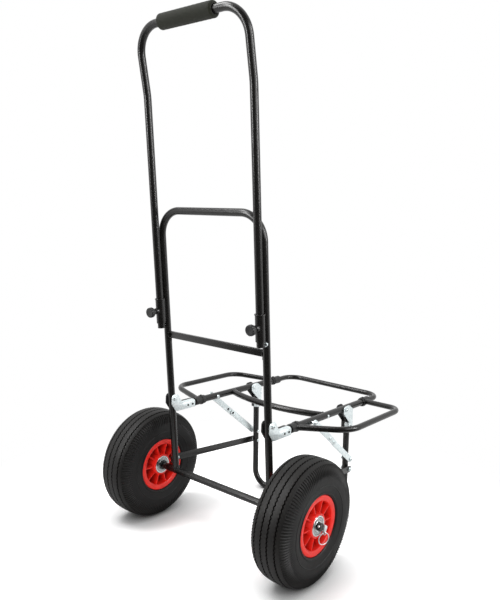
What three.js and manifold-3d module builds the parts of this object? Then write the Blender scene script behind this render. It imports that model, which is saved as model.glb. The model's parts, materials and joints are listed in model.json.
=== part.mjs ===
// Folding fishing trolley: a leaning tube mast on two pneumatic wheels, a sliding handle,
// a platform that folds up against the mast on linked struts, and side wings on the rails.
// Millimetres, +X across the axle, +Y forward over the platform, +Z up, standing on Z = 0.
import * as THREE from "three";
import { mergeVertices } from "three/addons/utils/BufferGeometryUtils.js";
import Module from "manifold-3d";

const wasm = await Module();
wasm.setup();

// Shared sizes
const frameSpacing = 285; // between the middles of the left and right tubes of every frame
const clearance = 0.3; // between pieces that touch or turn on each other
const overrun = 4; // how far a cutting tool passes through what it cuts
const sheet = 2; // thickness of the pressed zinc plates
const tubeSides = 10;
const bendStep = 22.5; // degrees of bend between two rings of a tube
const roundSides = 16;
const boltSides = 8;
const wheelSides = 24;
const ringSides = 5;
const weldDistance = 1e-4;

// Mast: a U of tube standing on the axle and leaning backwards
const mastLean = 6.4; // degrees
const mastHeight = 613; // axle to the middle of the top bar, along the mast
const mastRadius = 8;
const mastWall = 1.2;
const mastBend = 55;
const crossbarHeight = 336;
const crossbarTall = 15;
const crossbarDeep = 6;

// Handle: a second U that slides behind the mast
const handleRadius = 8;
const handleWall = 1.2;
const handleGap = 2.5; // clear space between the handle tubes and the mast tubes
const handleFoot = 354; // lower ends of the tubes, along the mast
const handleKink = 847; // where the tubes bend backwards
const handleKinkAngle = 6.7; // degrees
const handleReach = 131; // from the kink to the top bar
const handleKinkBend = 140;
const handleBend = 55;
const gripLength = 142;
const gripRadius = 15.5;
const gripOffset = -3;
const gripRounding = 4;

// Clamps that guide the handle, and their knobs
const clampHeight = 365; // lower edge, along the mast
const clampLength = 56;
const clampWall = 1.6;
const clampNeck = 8; // width of the bridge that joins the clamp to the mast
const clampBossRadius = 7;
const clampBossLength = 5.5;
const knobRise = 29; // above the clamp's lower edge
const knobRadius = 11.3;
const knobThickness = 10;
const knobNeck = 8; // from the boss to the knob
const knobChamfer = 1.5;
const studRadius = 3.8;
const studTipGap = 0.5;

// Wheels, axle and linch pins
const wheelTrack = 454;
const tyreRadius = 130;
const tyreHalfWidth = 42.5;
const tyreTread = 8;
const tyreSide = 5.5;
const tyreWidthShares = [0.925, 0.97, 1, 0.955, 0.85, 0.7]; // from the bead to the shoulder
const tyreHeightShares = [0.06, 0.3, 0.53, 0.74, 0.87, 0.945];
const grooves = [24, 7.5]; // middles of the tread's grooves, from the tyre's middle
const grooveHeightShares = [0.96, 0.995]; // edges of those grooves
const grooveWidth = 3.4;
const grooveDepth = 3.6;
const tubeWidthShares = [0.86, 0.93, 0.84, 0.38];
const tubeHeightShares = [0.32, 0.55, 0.7, 0.81];
const tubeSlack = 1; // between the inner tube and the tyre's beads
const rimRadius = 62;
const rimSeatDrop = 4;
const rimHalfWidth = 37.6;
const rimFlange = 4.6;
const rimBarrelInner = 50;
const rimWeb = 4; // half thickness of the disc between hub and barrel
const rimWebStep = 3;
const ribCount = 10;
const ribThickness = 2.4;
const ribDepth = 6; // how far the ribs stay behind the rim's face
const hubRadius = 25;
const hubHalfLength = 37.5;
const hubBore = 10;
const bearingRadius = 21;
const bearingWidth = 12;
const bearingLip = 3.5;
const bearingGroove = 0.8;
const valveRadius = 4;
const valveLength = 19;
const valveSetOut = 18;
const valveAngle = 29; // degrees above straight ahead
const axleRadius = 8;
const axleEnd = 8; // past the linch pin's middle
const axleChamfer = 1;
const axleCollar = 3; // how far the stop collar stands proud
const axleCollarWidth = 5;
const linchRadius = 2.5;
const linchTip = 15;
const linchAngle = -26.5; // degrees, the head points forward and down
const linchHeadStart = 9.5;
const linchHeadLength = 12;
const linchHeadWidth = 7;
const linchEyeDrop = 17.5;
const linchEyeRadius = 2.4;
const linchEyeThickness = 3;
const linchEyeRim = 2.4;
const linchRingRadius = 12;
const linchRingWire = 1.2;

// Platform: two rails, a bowed cross member and a front loop that slides in the rails
const foldHingeHeight = 183.2; // the platform's hinge on the mast, along the mast
const railDrop = 24; // rail middle below that hinge
const railRadius = 8;
const railWall = 1;
const railStart = 27; // rear ends, in front of the hinge
const railTail = 2; // front ends past the wings' front sleeves
const bowRadius = 7.5;
const bowWall = 1;
const bowPlace = 217; // where it meets the rails, in front of the hinge
const bowSag = 31;
const bowSteps = 8;
const loopTubeRadius = 6.7;
const loopWall = 1;
const loopStandOut = 61; // front bar past the rails' front ends
const loopBend = 38;
const loopLegGap = 34; // inner ends of its legs past the front leg's hinge

// Front leg, its hinge on the rails and the parallel lower struts
const legHingeSpan = 291; // between the platform's two hinges
const legRadius = 7.5;
const legWall = 1;
const legBend = 40;
const legLean = 3.16; // degrees backwards
const legTopGap = 27; // end of the leg tube below the rail middle, along the leg
const strutPivotHeight = 24.6; // along the mast
const strutPivotForward = 14.3; // in front of the mast's middle
const strutHalfHeight = 8;
const strutThickness = 3;
const strutGap = 0.4; // between strut and tab
const tabHalfHeight = 8;
const tabBack = 5;

// Hinge brackets: pressed channels with plastic liners
const linerThickness = 1.4;
const earRadius = 9.5;
const shoulderReach = 30;
const tongueReach = 66;
const tongueBelow = 8;
const heelReach = 4;
const heelDepth = 14;
const linerInset = 0.8;

// Bolts
const boltRadius = 3;
const boltHeadRadius = 5.5;
const boltHeadHeight = 3.6;
const nutRadius = 5;
const nutHeight = 2.5;

// Folding braces between rail and leg
const braceTop = 150.5; // on the rail, in front of the fold hinge
const braceRise = 26; // on the leg, above the strut's bolt
const linkHalfWidth = 7.5;
const linkThickness = 2;
const linkGap = 0.5;
const rivetRadius = 4.5;
const rivetHeight = 1.8;
const stopRivetShare = 0.8;

// Wings on the rails
const wingRadius = 6.5;
const wingWall = 1;
const wingReach = 119;
const wingBar = 226; // outer straight side between its corner points
const wingSleeveSpan = 305; // between the middles of the two sleeves
const wingSleeveGap = 8.5; // between the rear brackets and the rear sleeves
const wingBend = 46;
const wingSleeveLength = 34;
const wingSleeveWall = 2.4;
const wingRaiseRight = 6.1; // degrees
const wingRaiseLeft = 2;

// Places that follow from the sizes
const frameHalf = frameSpacing / 2;
const rad = THREE.MathUtils.degToRad;
const handleSetback = mastRadius + handleGap + handleRadius;
const mastPoint = (forward, height) => ({
  y: forward * Math.cos(rad(mastLean)) - height * Math.sin(rad(mastLean)),
  z: tyreRadius + forward * Math.sin(rad(mastLean)) + height * Math.cos(rad(mastLean)),
});
const foldHinge = mastPoint(0, foldHingeHeight);
const legHinge = { y: foldHinge.y + legHingeSpan, z: foldHinge.z - railDrop };
const strutRear = mastPoint(strutPivotForward, strutPivotHeight);
const strutFront = { y: strutRear.y + legHingeSpan, z: strutRear.z - railDrop };
const legUp = { y: -Math.sin(rad(legLean)), z: Math.cos(rad(legLean)) };
const hingeAlongLeg =
  (legHinge.y - strutFront.y) * legUp.y + (legHinge.z - strutFront.z) * legUp.z;
const hingeBehindLeg =
  (strutFront.y - legHinge.y) * legUp.z - (strutFront.z - legHinge.z) * legUp.y;
const wingMiddle = tongueReach + wingSleeveGap + (wingSleeveLength + wingSleeveSpan) / 2;
const railEnd = wingMiddle + (wingSleeveSpan + wingSleeveLength) / 2 + railTail;
const loopReach = railEnd + loopStandOut;
const loopTail = legHingeSpan + loopLegGap;
const linerInner = Math.max(mastRadius, railRadius, legRadius) + clearance;
const cheekInner = linerInner + linerThickness + clearance;
const cheekOuter = cheekInner + sheet;
const tabInner = mastRadius + clearance;
const strutInner = tabInner + sheet + strutGap;
const linkInner = cheekOuter + linkGap;
const linkOuter = linkInner + linkThickness + linkGap;
const braceA = { y: foldHinge.y + braceTop, z: legHinge.z };
const braceB = {
  y: strutFront.y + braceRise * legUp.y,
  z: strutFront.z + braceRise * legUp.z,
};
const linkLength = Math.hypot(braceA.y - braceB.y, braceA.z - braceB.z) / 2;
const braceAngle = Math.atan2(braceB.z - braceA.z, braceB.y - braceA.y);
const hubEnd = wheelTrack / 2 + hubHalfLength;
const linchPlace = hubEnd + clearance + Math.max(linchHeadWidth / 2, linchEyeRadius + linchEyeRim);

// Materials
const finish = (color, roughness, metalness) =>
  new THREE.MeshStandardMaterial({ color, roughness, metalness });
const blackTube = finish("#1b1b1c", 0.3, 0.3);
const zinc = finish("#cfd6d8", 0.35, 0.9);
const blackPlastic = finish("#191919", 0.5, 0);
const foam = finish("#33332f", 0.95, 0);
const tyreRubber = finish("#2b2b29", 0.85, 0);
const redPlastic = finish("#d21c16", 0.35, 0);

// Closed meshes and solids
function solid(geometry) {
  const bare = geometry.index ? geometry.toNonIndexed() : geometry.clone();
  bare.deleteAttribute("normal");
  bare.deleteAttribute("uv");
  const merged = mergeVertices(bare, weldDistance);
  return new wasm.Manifold(
    new wasm.Mesh({
      numProp: 3,
      vertProperties: merged.attributes.position.array,
      triVerts: new Uint32Array(merged.index.array),
    }),
  );
}

function geometryOf(body) {
  const mesh = body.getMesh();
  const geometry = new THREE.BufferGeometry();
  geometry.setAttribute("position", new THREE.BufferAttribute(mesh.vertProperties, 3));
  geometry.setIndex(new THREE.BufferAttribute(mesh.triVerts, 1));
  const flat = geometry.toNonIndexed();
  flat.computeVertexNormals();
  return flat;
}

function join(...geometries) {
  return geometryOf(geometries.map(solid).reduce((all, next) => all.add(next)));
}

function cut(geometry, ...tools) {
  return geometryOf(tools.map(solid).reduce((left, tool) => left.subtract(tool), solid(geometry)));
}

// A tube path: straight runs between corner points, with a round bend at each inner corner
class BentPath extends THREE.Curve {
  constructor(corners, bends) {
    super();
    this.stations = [];
    const last = corners.length - 1;
    corners.forEach((corner, i) => {
      const into = corners[Math.max(i, 1)].clone().sub(corners[Math.max(i, 1) - 1]).normalize();
      if (i === 0 || i === last) {
        this.stations.push({ point: corner, tangent: into });
        return;
      }
      const out = corners[i + 1].clone().sub(corner).normalize();
      const turn = into.angleTo(out);
      const side = out.clone().addScaledVector(into, -Math.cos(turn)).normalize();
      const steps = Math.max(1, Math.round(turn / rad(bendStep)));
      const start = corner.clone().addScaledVector(into, -bends[i - 1] * Math.tan(turn / 2));
      for (let step = 0; step <= steps; step += 1) {
        const angle = (turn * step) / steps;
        const point = start
          .clone()
          .addScaledVector(into, bends[i - 1] * Math.sin(angle))
          .addScaledVector(side, bends[i - 1] * (1 - Math.cos(angle)));
        const tangent = into
          .clone()
          .multiplyScalar(Math.cos(angle))
          .addScaledVector(side, Math.sin(angle));
        this.stations.push({ point, tangent });
      }
    });
  }
  station(share) {
    return this.stations[Math.round(share * (this.stations.length - 1))];
  }
  getPoint(share, target = new THREE.Vector3()) {
    return target.copy(this.station(share).point);
  }
  getPointAt(share, target) {
    return this.getPoint(share, target);
  }
  getTangentAt(share, target = new THREE.Vector3()) {
    return target.copy(this.station(share).tangent);
  }
}

function circle(radius, hole = 0) {
  const shape = new THREE.Shape().absarc(0, 0, radius, 0, 2 * Math.PI);
  if (hole) shape.holes.push(new THREE.Path().absarc(0, 0, hole, 0, 2 * Math.PI));
  return shape;
}

function sweep(path, radius, wall = 0) {
  return new THREE.ExtrudeGeometry(circle(radius, wall ? radius - wall : 0), {
    steps: path.stations.length - 1,
    curveSegments: tubeSides / 2,
    extrudePath: path,
  });
}

function bentTube(corners, bends, radius, wall = 0) {
  return sweep(new BentPath(corners, bends), radius, wall);
}

// A round bar or tool from one point to another
function rod(from, to, radius, sides = radius > boltHeadRadius ? roundSides : boltSides) {
  const along = to.clone().sub(from);
  const geometry = new THREE.CylinderGeometry(radius, radius, along.length(), sides);
  const turn = new THREE.Quaternion().setFromUnitVectors(
    new THREE.Vector3(0, 1, 0),
    along.clone().normalize(),
  );
  return geometry.applyQuaternion(turn).translate(
    (from.x + to.x) / 2,
    (from.y + to.y) / 2,
    (from.z + to.z) / 2,
  );
}

// A profile of (place along X, radius) points turned round the X axis
function turned(profile, sides = roundSides) {
  const points = profile.map(([along, radius]) => new THREE.Vector2(radius, along));
  if (THREE.ShapeUtils.area(points) < 0) points.reverse();
  return new THREE.LatheGeometry(points, sides).rotateZ(-Math.PI / 2);
}

// A flat plate drawn in the (Y, Z) plane and given its thickness along X
function plate(shape, inner, outer) {
  const geometry = new THREE.ExtrudeGeometry(shape, {
    depth: outer - inner,
    bevelEnabled: false,
    curveSegments: tubeSides / 2,
  });
  const basis = new THREE.Matrix4().makeBasis(
    new THREE.Vector3(0, 1, 0),
    new THREE.Vector3(0, 0, 1),
    new THREE.Vector3(1, 0, 0),
  );
  return geometry.applyMatrix4(basis).translate(inner, 0, 0);
}

function at(x, y, z) {
  return new THREE.Vector3(x, y, z);
}

// Placing
const assembly = new THREE.Group();

function group(parent, y = 0, z = 0, turnX = 0) {
  const made = new THREE.Group();
  made.position.set(0, y, z);
  made.rotation.x = turnX;
  parent.add(made);
  return made;
}

function piece(parent, name, geometry, material) {
  const mesh = new THREE.Mesh(geometry, material);
  mesh.name = name;
  parent.add(mesh);
}

// The same pieces on the right, and mirrored on the left
function bothSides(parent, build) {
  for (const [side, sign] of [["right", 1], ["left", -1]]) {
    const half = new THREE.Group();
    half.scale.x = sign;
    parent.add(half);
    build(half, side);
  }
}

// A plain bolt along X with its head outside and its nut inside, as one turned body
function bolt(inner, outer) {
  return turned([
    [inner - nutHeight, 0],
    [inner - nutHeight, nutRadius],
    [inner, nutRadius],
    [inner, boltRadius],
    [outer, boltRadius],
    [outer, boltHeadRadius],
    [outer + boltHeadHeight, boltHeadRadius],
    [outer + boltHeadHeight, 0],
  ], boltSides);
}

// A bar with two round ends and two holes, from the origin along +Y
function barShape(length, halfHeight, hole) {
  const shape = new THREE.Shape();
  shape.absarc(0, 0, halfHeight, Math.PI / 2, (3 * Math.PI) / 2);
  shape.absarc(length, 0, halfHeight, -Math.PI / 2, Math.PI / 2);
  for (const place of [0, length]) {
    shape.holes.push(new THREE.Path().absarc(place, 0, hole, 0, 2 * Math.PI));
  }
  return shape;
}

// Mast
const mast = group(assembly, 0, tyreRadius, rad(mastLean));

function mastPieces() {
  const corners = [
    at(frameHalf, 0, 0),
    at(frameHalf, 0, mastHeight),
    at(-frameHalf, 0, mastHeight),
    at(-frameHalf, 0, 0),
  ];
  const tube = bentTube(corners, [mastBend, mastBend], mastRadius, mastWall);
  const halfAxle = frameHalf + mastRadius + overrun;
  const axleCut = rod(at(-halfAxle, 0, 0), at(halfAxle, 0, 0), axleRadius + clearance);
  const holes = [-1, 1].map((sign) =>
    rod(
      at(sign * frameHalf - mastRadius - overrun, 0, foldHingeHeight),
      at(sign * frameHalf + mastRadius + overrun, 0, foldHingeHeight),
      boltRadius + clearance,
    ),
  );
  piece(mast, "mast_frame", cut(tube, axleCut, ...holes), blackTube);

  const bar = new THREE.BoxGeometry(frameSpacing - mastRadius, crossbarDeep, crossbarTall);
  bar.translate(0, 0, crossbarHeight);
  const tubeCuts = [-1, 1].map((sign) =>
    rod(
      at(sign * frameHalf, 0, crossbarHeight - crossbarTall),
      at(sign * frameHalf, 0, crossbarHeight + crossbarTall),
      mastRadius + clearance,
    ),
  );
  piece(mast, "crossbar", cut(bar, ...tubeCuts), blackTube);
}

function clampPieces(half, side) {
  const arm = mastRadius + clampWall + clearance;
  const neck = clampNeck / 2;
  const turn = Math.asin(neck / arm);
  const outline = new THREE.Shape();
  outline.moveTo(-neck, 0);
  outline.absarc(0, -handleSetback, arm, Math.PI / 2 + turn, (5 * Math.PI) / 2 - turn);
  outline.lineTo(neck, 0);
  const body = new THREE.ExtrudeGeometry(outline, {
    depth: clampLength,
    bevelEnabled: false,
    curveSegments: tubeSides,
  }).translate(frameHalf, 0, clampHeight);
  const knobHeight = clampHeight + knobRise;
  const back = -handleSetback - arm;
  const boss = rod(
    at(frameHalf, back + clampWall, knobHeight),
    at(frameHalf, back - clampBossLength, knobHeight),
    clampBossRadius,
  );
  const low = clampHeight - overrun;
  const high = clampHeight + clampLength + overrun;
  const bores = [0, -handleSetback].map((y) =>
    rod(at(frameHalf, y, low), at(frameHalf, y, high), mastRadius + clearance),
  );
  const studHole = rod(
    at(frameHalf, -handleSetback, knobHeight),
    at(frameHalf, back - clampBossLength - overrun, knobHeight),
    studRadius + clearance,
    roundSides,
  );
  piece(half, `clamp_${side}`, cut(join(body, boss), ...bores, studHole), blackTube);

  const tip = handleSetback + handleRadius + studTipGap;
  const stud = handleSetback + arm + clampBossLength + knobNeck;
  const end = stud + knobThickness;
  const knob = turned([
    [tip, 0],
    [tip, studRadius],
    [stud, studRadius],
    [stud, knobRadius - knobChamfer],
    [stud + knobChamfer, knobRadius],
    [end - knobChamfer, knobRadius],
    [end, knobRadius - knobChamfer],
    [end, 0],
  ]).rotateZ(-Math.PI / 2);
  piece(half, `knob_${side}`, knob.translate(frameHalf, 0, knobHeight), blackPlastic);
}

function strutTab(half, side) {
  const shape = new THREE.Shape();
  shape.moveTo(-tabBack, strutPivotHeight - tabHalfHeight);
  shape.absarc(strutPivotForward, strutPivotHeight, tabHalfHeight, -Math.PI / 2, Math.PI / 2);
  shape.lineTo(-tabBack, strutPivotHeight + tabHalfHeight);
  const hole = new THREE.Path();
  hole.absarc(strutPivotForward, strutPivotHeight, boltRadius + clearance, 0, 2 * Math.PI);
  shape.holes.push(hole);
  const made = plate(shape, frameHalf + tabInner, frameHalf + tabInner + sheet);
  piece(half, `strut_tab_${side}`, made, blackTube);
}

function mastBolts(half, side) {
  const hinge = bolt(frameHalf - cheekOuter - clearance, frameHalf + cheekOuter + clearance);
  piece(half, `fold_bolt_${side}`, hinge.translate(0, 0, foldHingeHeight), zinc);
  const low = bolt(
    frameHalf + tabInner - clearance,
    frameHalf + strutInner + strutThickness + clearance,
  );
  low.translate(0, strutPivotForward, strutPivotHeight);
  piece(half, `strut_rear_bolt_${side}`, low, zinc);
}

mastPieces();
bothSides(mast, (half, side) => {
  clampPieces(half, side);
  strutTab(half, side);
  mastBolts(half, side);
});

// Handle
function handlePieces() {
  const tilt = rad(handleKinkAngle);
  const topY = -handleSetback - handleReach * Math.sin(tilt);
  const topZ = handleKink + handleReach * Math.cos(tilt);
  const right = [
    at(frameHalf, -handleSetback, handleFoot),
    at(frameHalf, -handleSetback, handleKink),
    at(frameHalf, topY, topZ),
  ];
  const left = right.map((corner) => at(-corner.x, corner.y, corner.z)).reverse();
  const bends = [handleKinkBend, handleBend, handleBend, handleKinkBend];
  const tube = bentTube([...right, ...left], bends, handleRadius, handleWall);
  piece(mast, "handle_tube", tube, blackTube);

  const bore = handleRadius + clearance;
  const halfGrip = gripLength / 2;
  const profile = [
    [-halfGrip, bore],
    [-halfGrip, gripRadius - gripRounding],
    [-halfGrip + gripRounding / 2, gripRadius - gripRounding / 4],
    [-halfGrip + gripRounding, gripRadius],
    [halfGrip - gripRounding, gripRadius],
    [halfGrip - gripRounding / 2, gripRadius - gripRounding / 4],
    [halfGrip, gripRadius - gripRounding],
    [halfGrip, bore],
    [-halfGrip, bore],
  ];
  piece(mast, "grip", turned(profile).translate(gripOffset, topY, topZ), foam);
}

handlePieces();

// Axle and wheels
const wheelLine = group(assembly, 0, tyreRadius);

function axlePiece() {
  const end = linchPlace + axleEnd;
  const collarOut = wheelTrack / 2 - hubHalfLength - clearance;
  const half = [
    [collarOut - axleCollarWidth, axleRadius],
    [collarOut - axleCollarWidth, axleRadius + axleCollar],
    [collarOut, axleRadius + axleCollar],
    [collarOut, axleRadius],
    [end - axleChamfer, axleRadius],
    [end, axleRadius - axleChamfer],
    [end, 0],
  ];
  const mirrored = half.map(([along, radius]) => [-along, radius]).reverse();
  const bar = turned([...mirrored, ...half]);
  const reach = axleRadius + overrun;
  const pinHoles = [-1, 1].map((sign) => {
    const forward = Math.cos(rad(linchAngle)) * reach;
    const up = Math.sin(rad(linchAngle)) * reach;
    const place = sign * linchPlace;
    return rod(at(place, -forward, -up), at(place, forward, up), linchRadius + clearance);
  });
  piece(wheelLine, "axle", cut(bar, ...pinHoles), blackTube);
}

function tyreProfile() {
  const seat = rimRadius - rimSeatDrop + clearance;
  const width = tyreHalfWidth;
  const tall = tyreRadius - rimRadius;
  const inFlange = rimHalfWidth - rimFlange - clearance;
  const outer = [
    [inFlange, seat],
    [inFlange, rimRadius + clearance],
    [rimHalfWidth - rimFlange / 4, rimRadius + clearance],
    ...tyreWidthShares.map((share, i) => [width * share, rimRadius + tall * tyreHeightShares[i]]),
    ...grooves.flatMap((place, i) => {
      const edge = rimRadius + tall * grooveHeightShares[i];
      const side = grooveWidth / 2;
      return [[place + side, edge], [place, edge - grooveDepth], [place - side, edge]];
    }),
  ];
  const inside = [
    [width * tyreWidthShares[5] - tyreSide, rimRadius + tall * tyreHeightShares[5] - tyreTread],
    [width * tyreWidthShares[3] - tyreSide, rimRadius + tall * tyreHeightShares[3] - tyreSide],
    [width - tyreSide, rimRadius + tall * tyreHeightShares[2]],
    [width * tyreWidthShares[1] - tyreSide, rimRadius + tall * tyreHeightShares[1]],
    [inFlange - tyreSide, rimRadius],
    [inFlange - tyreSide, seat],
  ];
  const halfLoop = [...outer, [0, tyreRadius]];
  const back = outer.map(([along, radius]) => [-along, radius]).reverse();
  const innerLeft = inside.map(([along, radius]) => [-along, radius]).reverse();
  return [...halfLoop, ...back, ...innerLeft, [0, tyreRadius - tyreTread], ...inside, outer[0]];
}

// The tyre stands on one of its flats, which reach the tyre's radius
function tyreGeometry() {
  const halfTurn = Math.PI / wheelSides;
  const grow = 1 / Math.cos(halfTurn);
  return turned(tyreProfile(), wheelSides).rotateX(halfTurn).scale(1, grow, grow);
}

function innerTubeGeometry() {
  const tall = tyreRadius - rimRadius;
  const low = (rimRadius - rimSeatDrop + clearance) / Math.cos(Math.PI / roundSides);
  const wide = tyreHalfWidth - tyreSide;
  const throat = rimHalfWidth - rimFlange - clearance - tyreSide - tubeSlack;
  const half = [
    [throat, low],
    [throat, rimRadius],
    ...tubeWidthShares.map((share, i) => [wide * share, rimRadius + tall * tubeHeightShares[i]]),
  ];
  const mirrored = half.map(([along, radius]) => [-along, radius]).reverse();
  const ring = turned([...half, ...mirrored, half[0]]);
  const inner = rimBarrelInner - valveLength;
  const way = at(0, Math.cos(rad(valveAngle)), Math.sin(rad(valveAngle)));
  const stem = rod(
    way.clone().multiplyScalar(inner).setX(valveSetOut),
    way.clone().multiplyScalar(rimRadius + overrun).setX(valveSetOut),
    valveRadius,
    tubeSides,
  );
  return join(ring, stem);
}

function rimGeometry() {
  const seat = rimRadius - rimSeatDrop;
  const inFlange = rimHalfWidth - rimFlange;
  const bearingSeat = bearingRadius + clearance;
  const bearingStep = hubHalfLength - bearingWidth - clearance;
  const half = [
    [inFlange, seat],
    [inFlange, rimRadius],
    [rimHalfWidth, rimRadius],
    [rimHalfWidth, rimBarrelInner],
    [rimWeb, rimBarrelInner - rimWebStep],
    [rimWeb, hubRadius + rimWebStep],
    [hubHalfLength, hubRadius],
    [hubHalfLength, bearingSeat],
    [bearingStep, bearingSeat],
    [bearingStep, hubBore],
  ];
  const mirrored = half.map(([along, radius]) => [-along, radius]).reverse();
  const body = turned([...half, ...mirrored, half[0]], wheelSides);
  const ribLength = rimBarrelInner - hubRadius;
  const ribs = Array.from({ length: ribCount }, (_, i) =>
    new THREE.BoxGeometry(2 * (rimHalfWidth - ribDepth), ribThickness, ribLength)
      .translate(0, 0, (rimBarrelInner + hubRadius) / 2)
      .rotateX((2 * Math.PI * (i + 0.5)) / ribCount),
  );
  const way = at(0, Math.cos(rad(valveAngle)), Math.sin(rad(valveAngle)));
  const valveHole = rod(
    way.clone().multiplyScalar(rimBarrelInner - valveLength).setX(valveSetOut),
    way.clone().multiplyScalar(rimRadius + overrun).setX(valveSetOut),
    valveRadius + clearance,
    tubeSides,
  );
  return cut(join(body, ...ribs), valveHole);
}

function bearingGeometry() {
  const inner = axleRadius + clearance;
  const low = inner + bearingLip;
  const high = bearingRadius - bearingLip;
  return turned([
    [0, inner],
    [bearingWidth, inner],
    [bearingWidth, low],
    [bearingWidth - bearingGroove, low],
    [bearingWidth - bearingGroove, high],
    [bearingWidth, high],
    [bearingWidth, bearingRadius],
    [0, bearingRadius],
    [0, inner],
  ], roundSides);
}

function wheelPieces(half, side) {
  const middle = wheelTrack / 2;
  const parts = {
    tyre: [tyreGeometry(), tyreRubber],
    inner_tube: [innerTubeGeometry(), tyreRubber],
    rim: [rimGeometry(), redPlastic],
    outer_bearing: [bearingGeometry().translate(hubHalfLength - bearingWidth, 0, 0), zinc],
    inner_bearing: [
      bearingGeometry().rotateY(Math.PI).translate(bearingWidth - hubHalfLength, 0, 0),
      zinc,
    ],
  };
  for (const [name, [geometry, material]] of Object.entries(parts)) {
    piece(half, `${name}_${side}`, geometry.translate(middle, 0, 0), material);
  }
}

function linchPieces(half, side) {
  const shank = rod(at(0, -linchTip, 0), at(0, linchHeadStart + linchRadius, 0), linchRadius);
  const head = new THREE.BoxGeometry(linchHeadWidth, linchHeadLength, linchHeadWidth);
  head.translate(0, linchHeadStart + linchHeadLength / 2, 0);
  const pin = join(shank, head).rotateX(rad(linchAngle));
  const eyeY = Math.cos(rad(linchAngle)) * (linchHeadStart + linchHeadLength / 2);
  const eyeOuter = linchEyeRadius + linchEyeRim;
  const lugTop = Math.sin(rad(linchAngle)) * (linchHeadStart + linchHeadLength / 2);
  const lug = new THREE.BoxGeometry(2 * eyeOuter, linchEyeThickness, lugTop + linchEyeDrop);
  lug.translate(0, eyeY, (lugTop - linchEyeDrop) / 2);
  const eyeFrom = eyeY - linchEyeThickness / 2;
  const eyeTo = eyeY + linchEyeThickness / 2;
  const eye = rod(at(0, eyeFrom, -linchEyeDrop), at(0, eyeTo, -linchEyeDrop), eyeOuter);
  const hole = rod(
    at(0, eyeFrom - overrun, -linchEyeDrop),
    at(0, eyeTo + overrun / 2, -linchEyeDrop),
    linchEyeRadius,
  );
  const whole = cut(join(pin, lug, eye), hole);
  piece(half, `linch_pin_${side}`, whole.translate(linchPlace, 0, 0), zinc);
  const ring = new THREE.TorusGeometry(linchRingRadius, linchRingWire, ringSides, roundSides);
  ring.rotateY(Math.PI / 2);
  ring.translate(linchPlace, eyeY, -linchEyeDrop - linchRingRadius);
  piece(half, `linch_ring_${side}`, ring, zinc);
}

axlePiece();
bothSides(wheelLine, (half, side) => {
  wheelPieces(half, side);
  linchPieces(half, side);
});

// Platform, with its origin at the fold hinge
const platform = group(assembly, foldHinge.y, foldHinge.z);

// The side outline of a hinge bracket: reach runs from the hinge along the tube it holds
function bracketShape(drop, inset, hole) {
  const radius = earRadius - inset;
  const top = cheekOuter - drop - inset;
  const bottom = -drop - tongueBelow + inset;
  const run = Math.hypot(shoulderReach, top);
  const tangent = Math.atan2(top, shoulderReach) + Math.acos(radius / run);
  const shape = new THREE.Shape();
  shape.moveTo(tongueReach - inset, top);
  shape.lineTo(shoulderReach, top);
  shape.absarc(0, 0, radius, tangent, Math.PI);
  shape.lineTo(-radius, -heelDepth);
  shape.lineTo(heelReach, bottom);
  shape.lineTo(tongueReach - inset, bottom);
  shape.holes.push(new THREE.Path().absarc(0, 0, hole, 0, 2 * Math.PI));
  return shape;
}

// A channel with two cheeks and a web above the tube, around the plane X = 0
function channel(drop, inset, inner, thickness) {
  const shape = bracketShape(drop, inset, boltRadius + clearance);
  const cheek = plate(shape, inner, inner + thickness);
  const other = plate(shape, -inner - thickness, -inner);
  const length = tongueReach - inset - shoulderReach;
  const web = new THREE.BoxGeometry(2 * (inner + thickness), length, thickness);
  web.translate(0, shoulderReach + length / 2, inner + thickness / 2 - drop);
  return join(cheek, other, web);
}

function bracketPieces(half, side, place, drop) {
  const zincChannel = channel(drop, 0, cheekInner, sheet);
  const liner = channel(drop, linerInset + sheet, linerInner, linerThickness);
  for (const geometry of [zincChannel, liner]) {
    if (place === "front") geometry.rotateX(Math.PI / 2).rotateZ(Math.PI).rotateX(Math.PI);
    geometry.translate(frameHalf, 0, 0);
  }
  piece(half, `${place}_bracket_${side}`, zincChannel, zinc);
  piece(half, `${place}_liner_${side}`, liner, blackPlastic);
}

function railPieces(half, side) {
  const tube = bentTube(
    [at(frameHalf, railStart, -railDrop), at(frameHalf, railEnd, -railDrop)],
    [],
    railRadius,
    railWall,
  );
  const holes = [legHingeSpan, braceTop].map((y) =>
    rod(
      at(frameHalf - railRadius - overrun, y, -railDrop),
      at(frameHalf + railRadius + overrun, y, -railDrop),
      boltRadius + clearance,
    ),
  );
  piece(half, `rail_${side}`, cut(tube, ...holes), blackTube);

  const front = bolt(frameHalf - cheekOuter - clearance, frameHalf + cheekOuter + clearance);
  piece(half, `leg_hinge_bolt_${side}`, front.translate(0, legHingeSpan, -railDrop), zinc);
  const top = bolt(
    frameHalf - railRadius - clearance,
    frameHalf + linkOuter + linkThickness + clearance,
  );
  piece(half, `brace_top_bolt_${side}`, top.translate(0, braceTop, -railDrop), zinc);
}

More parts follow.
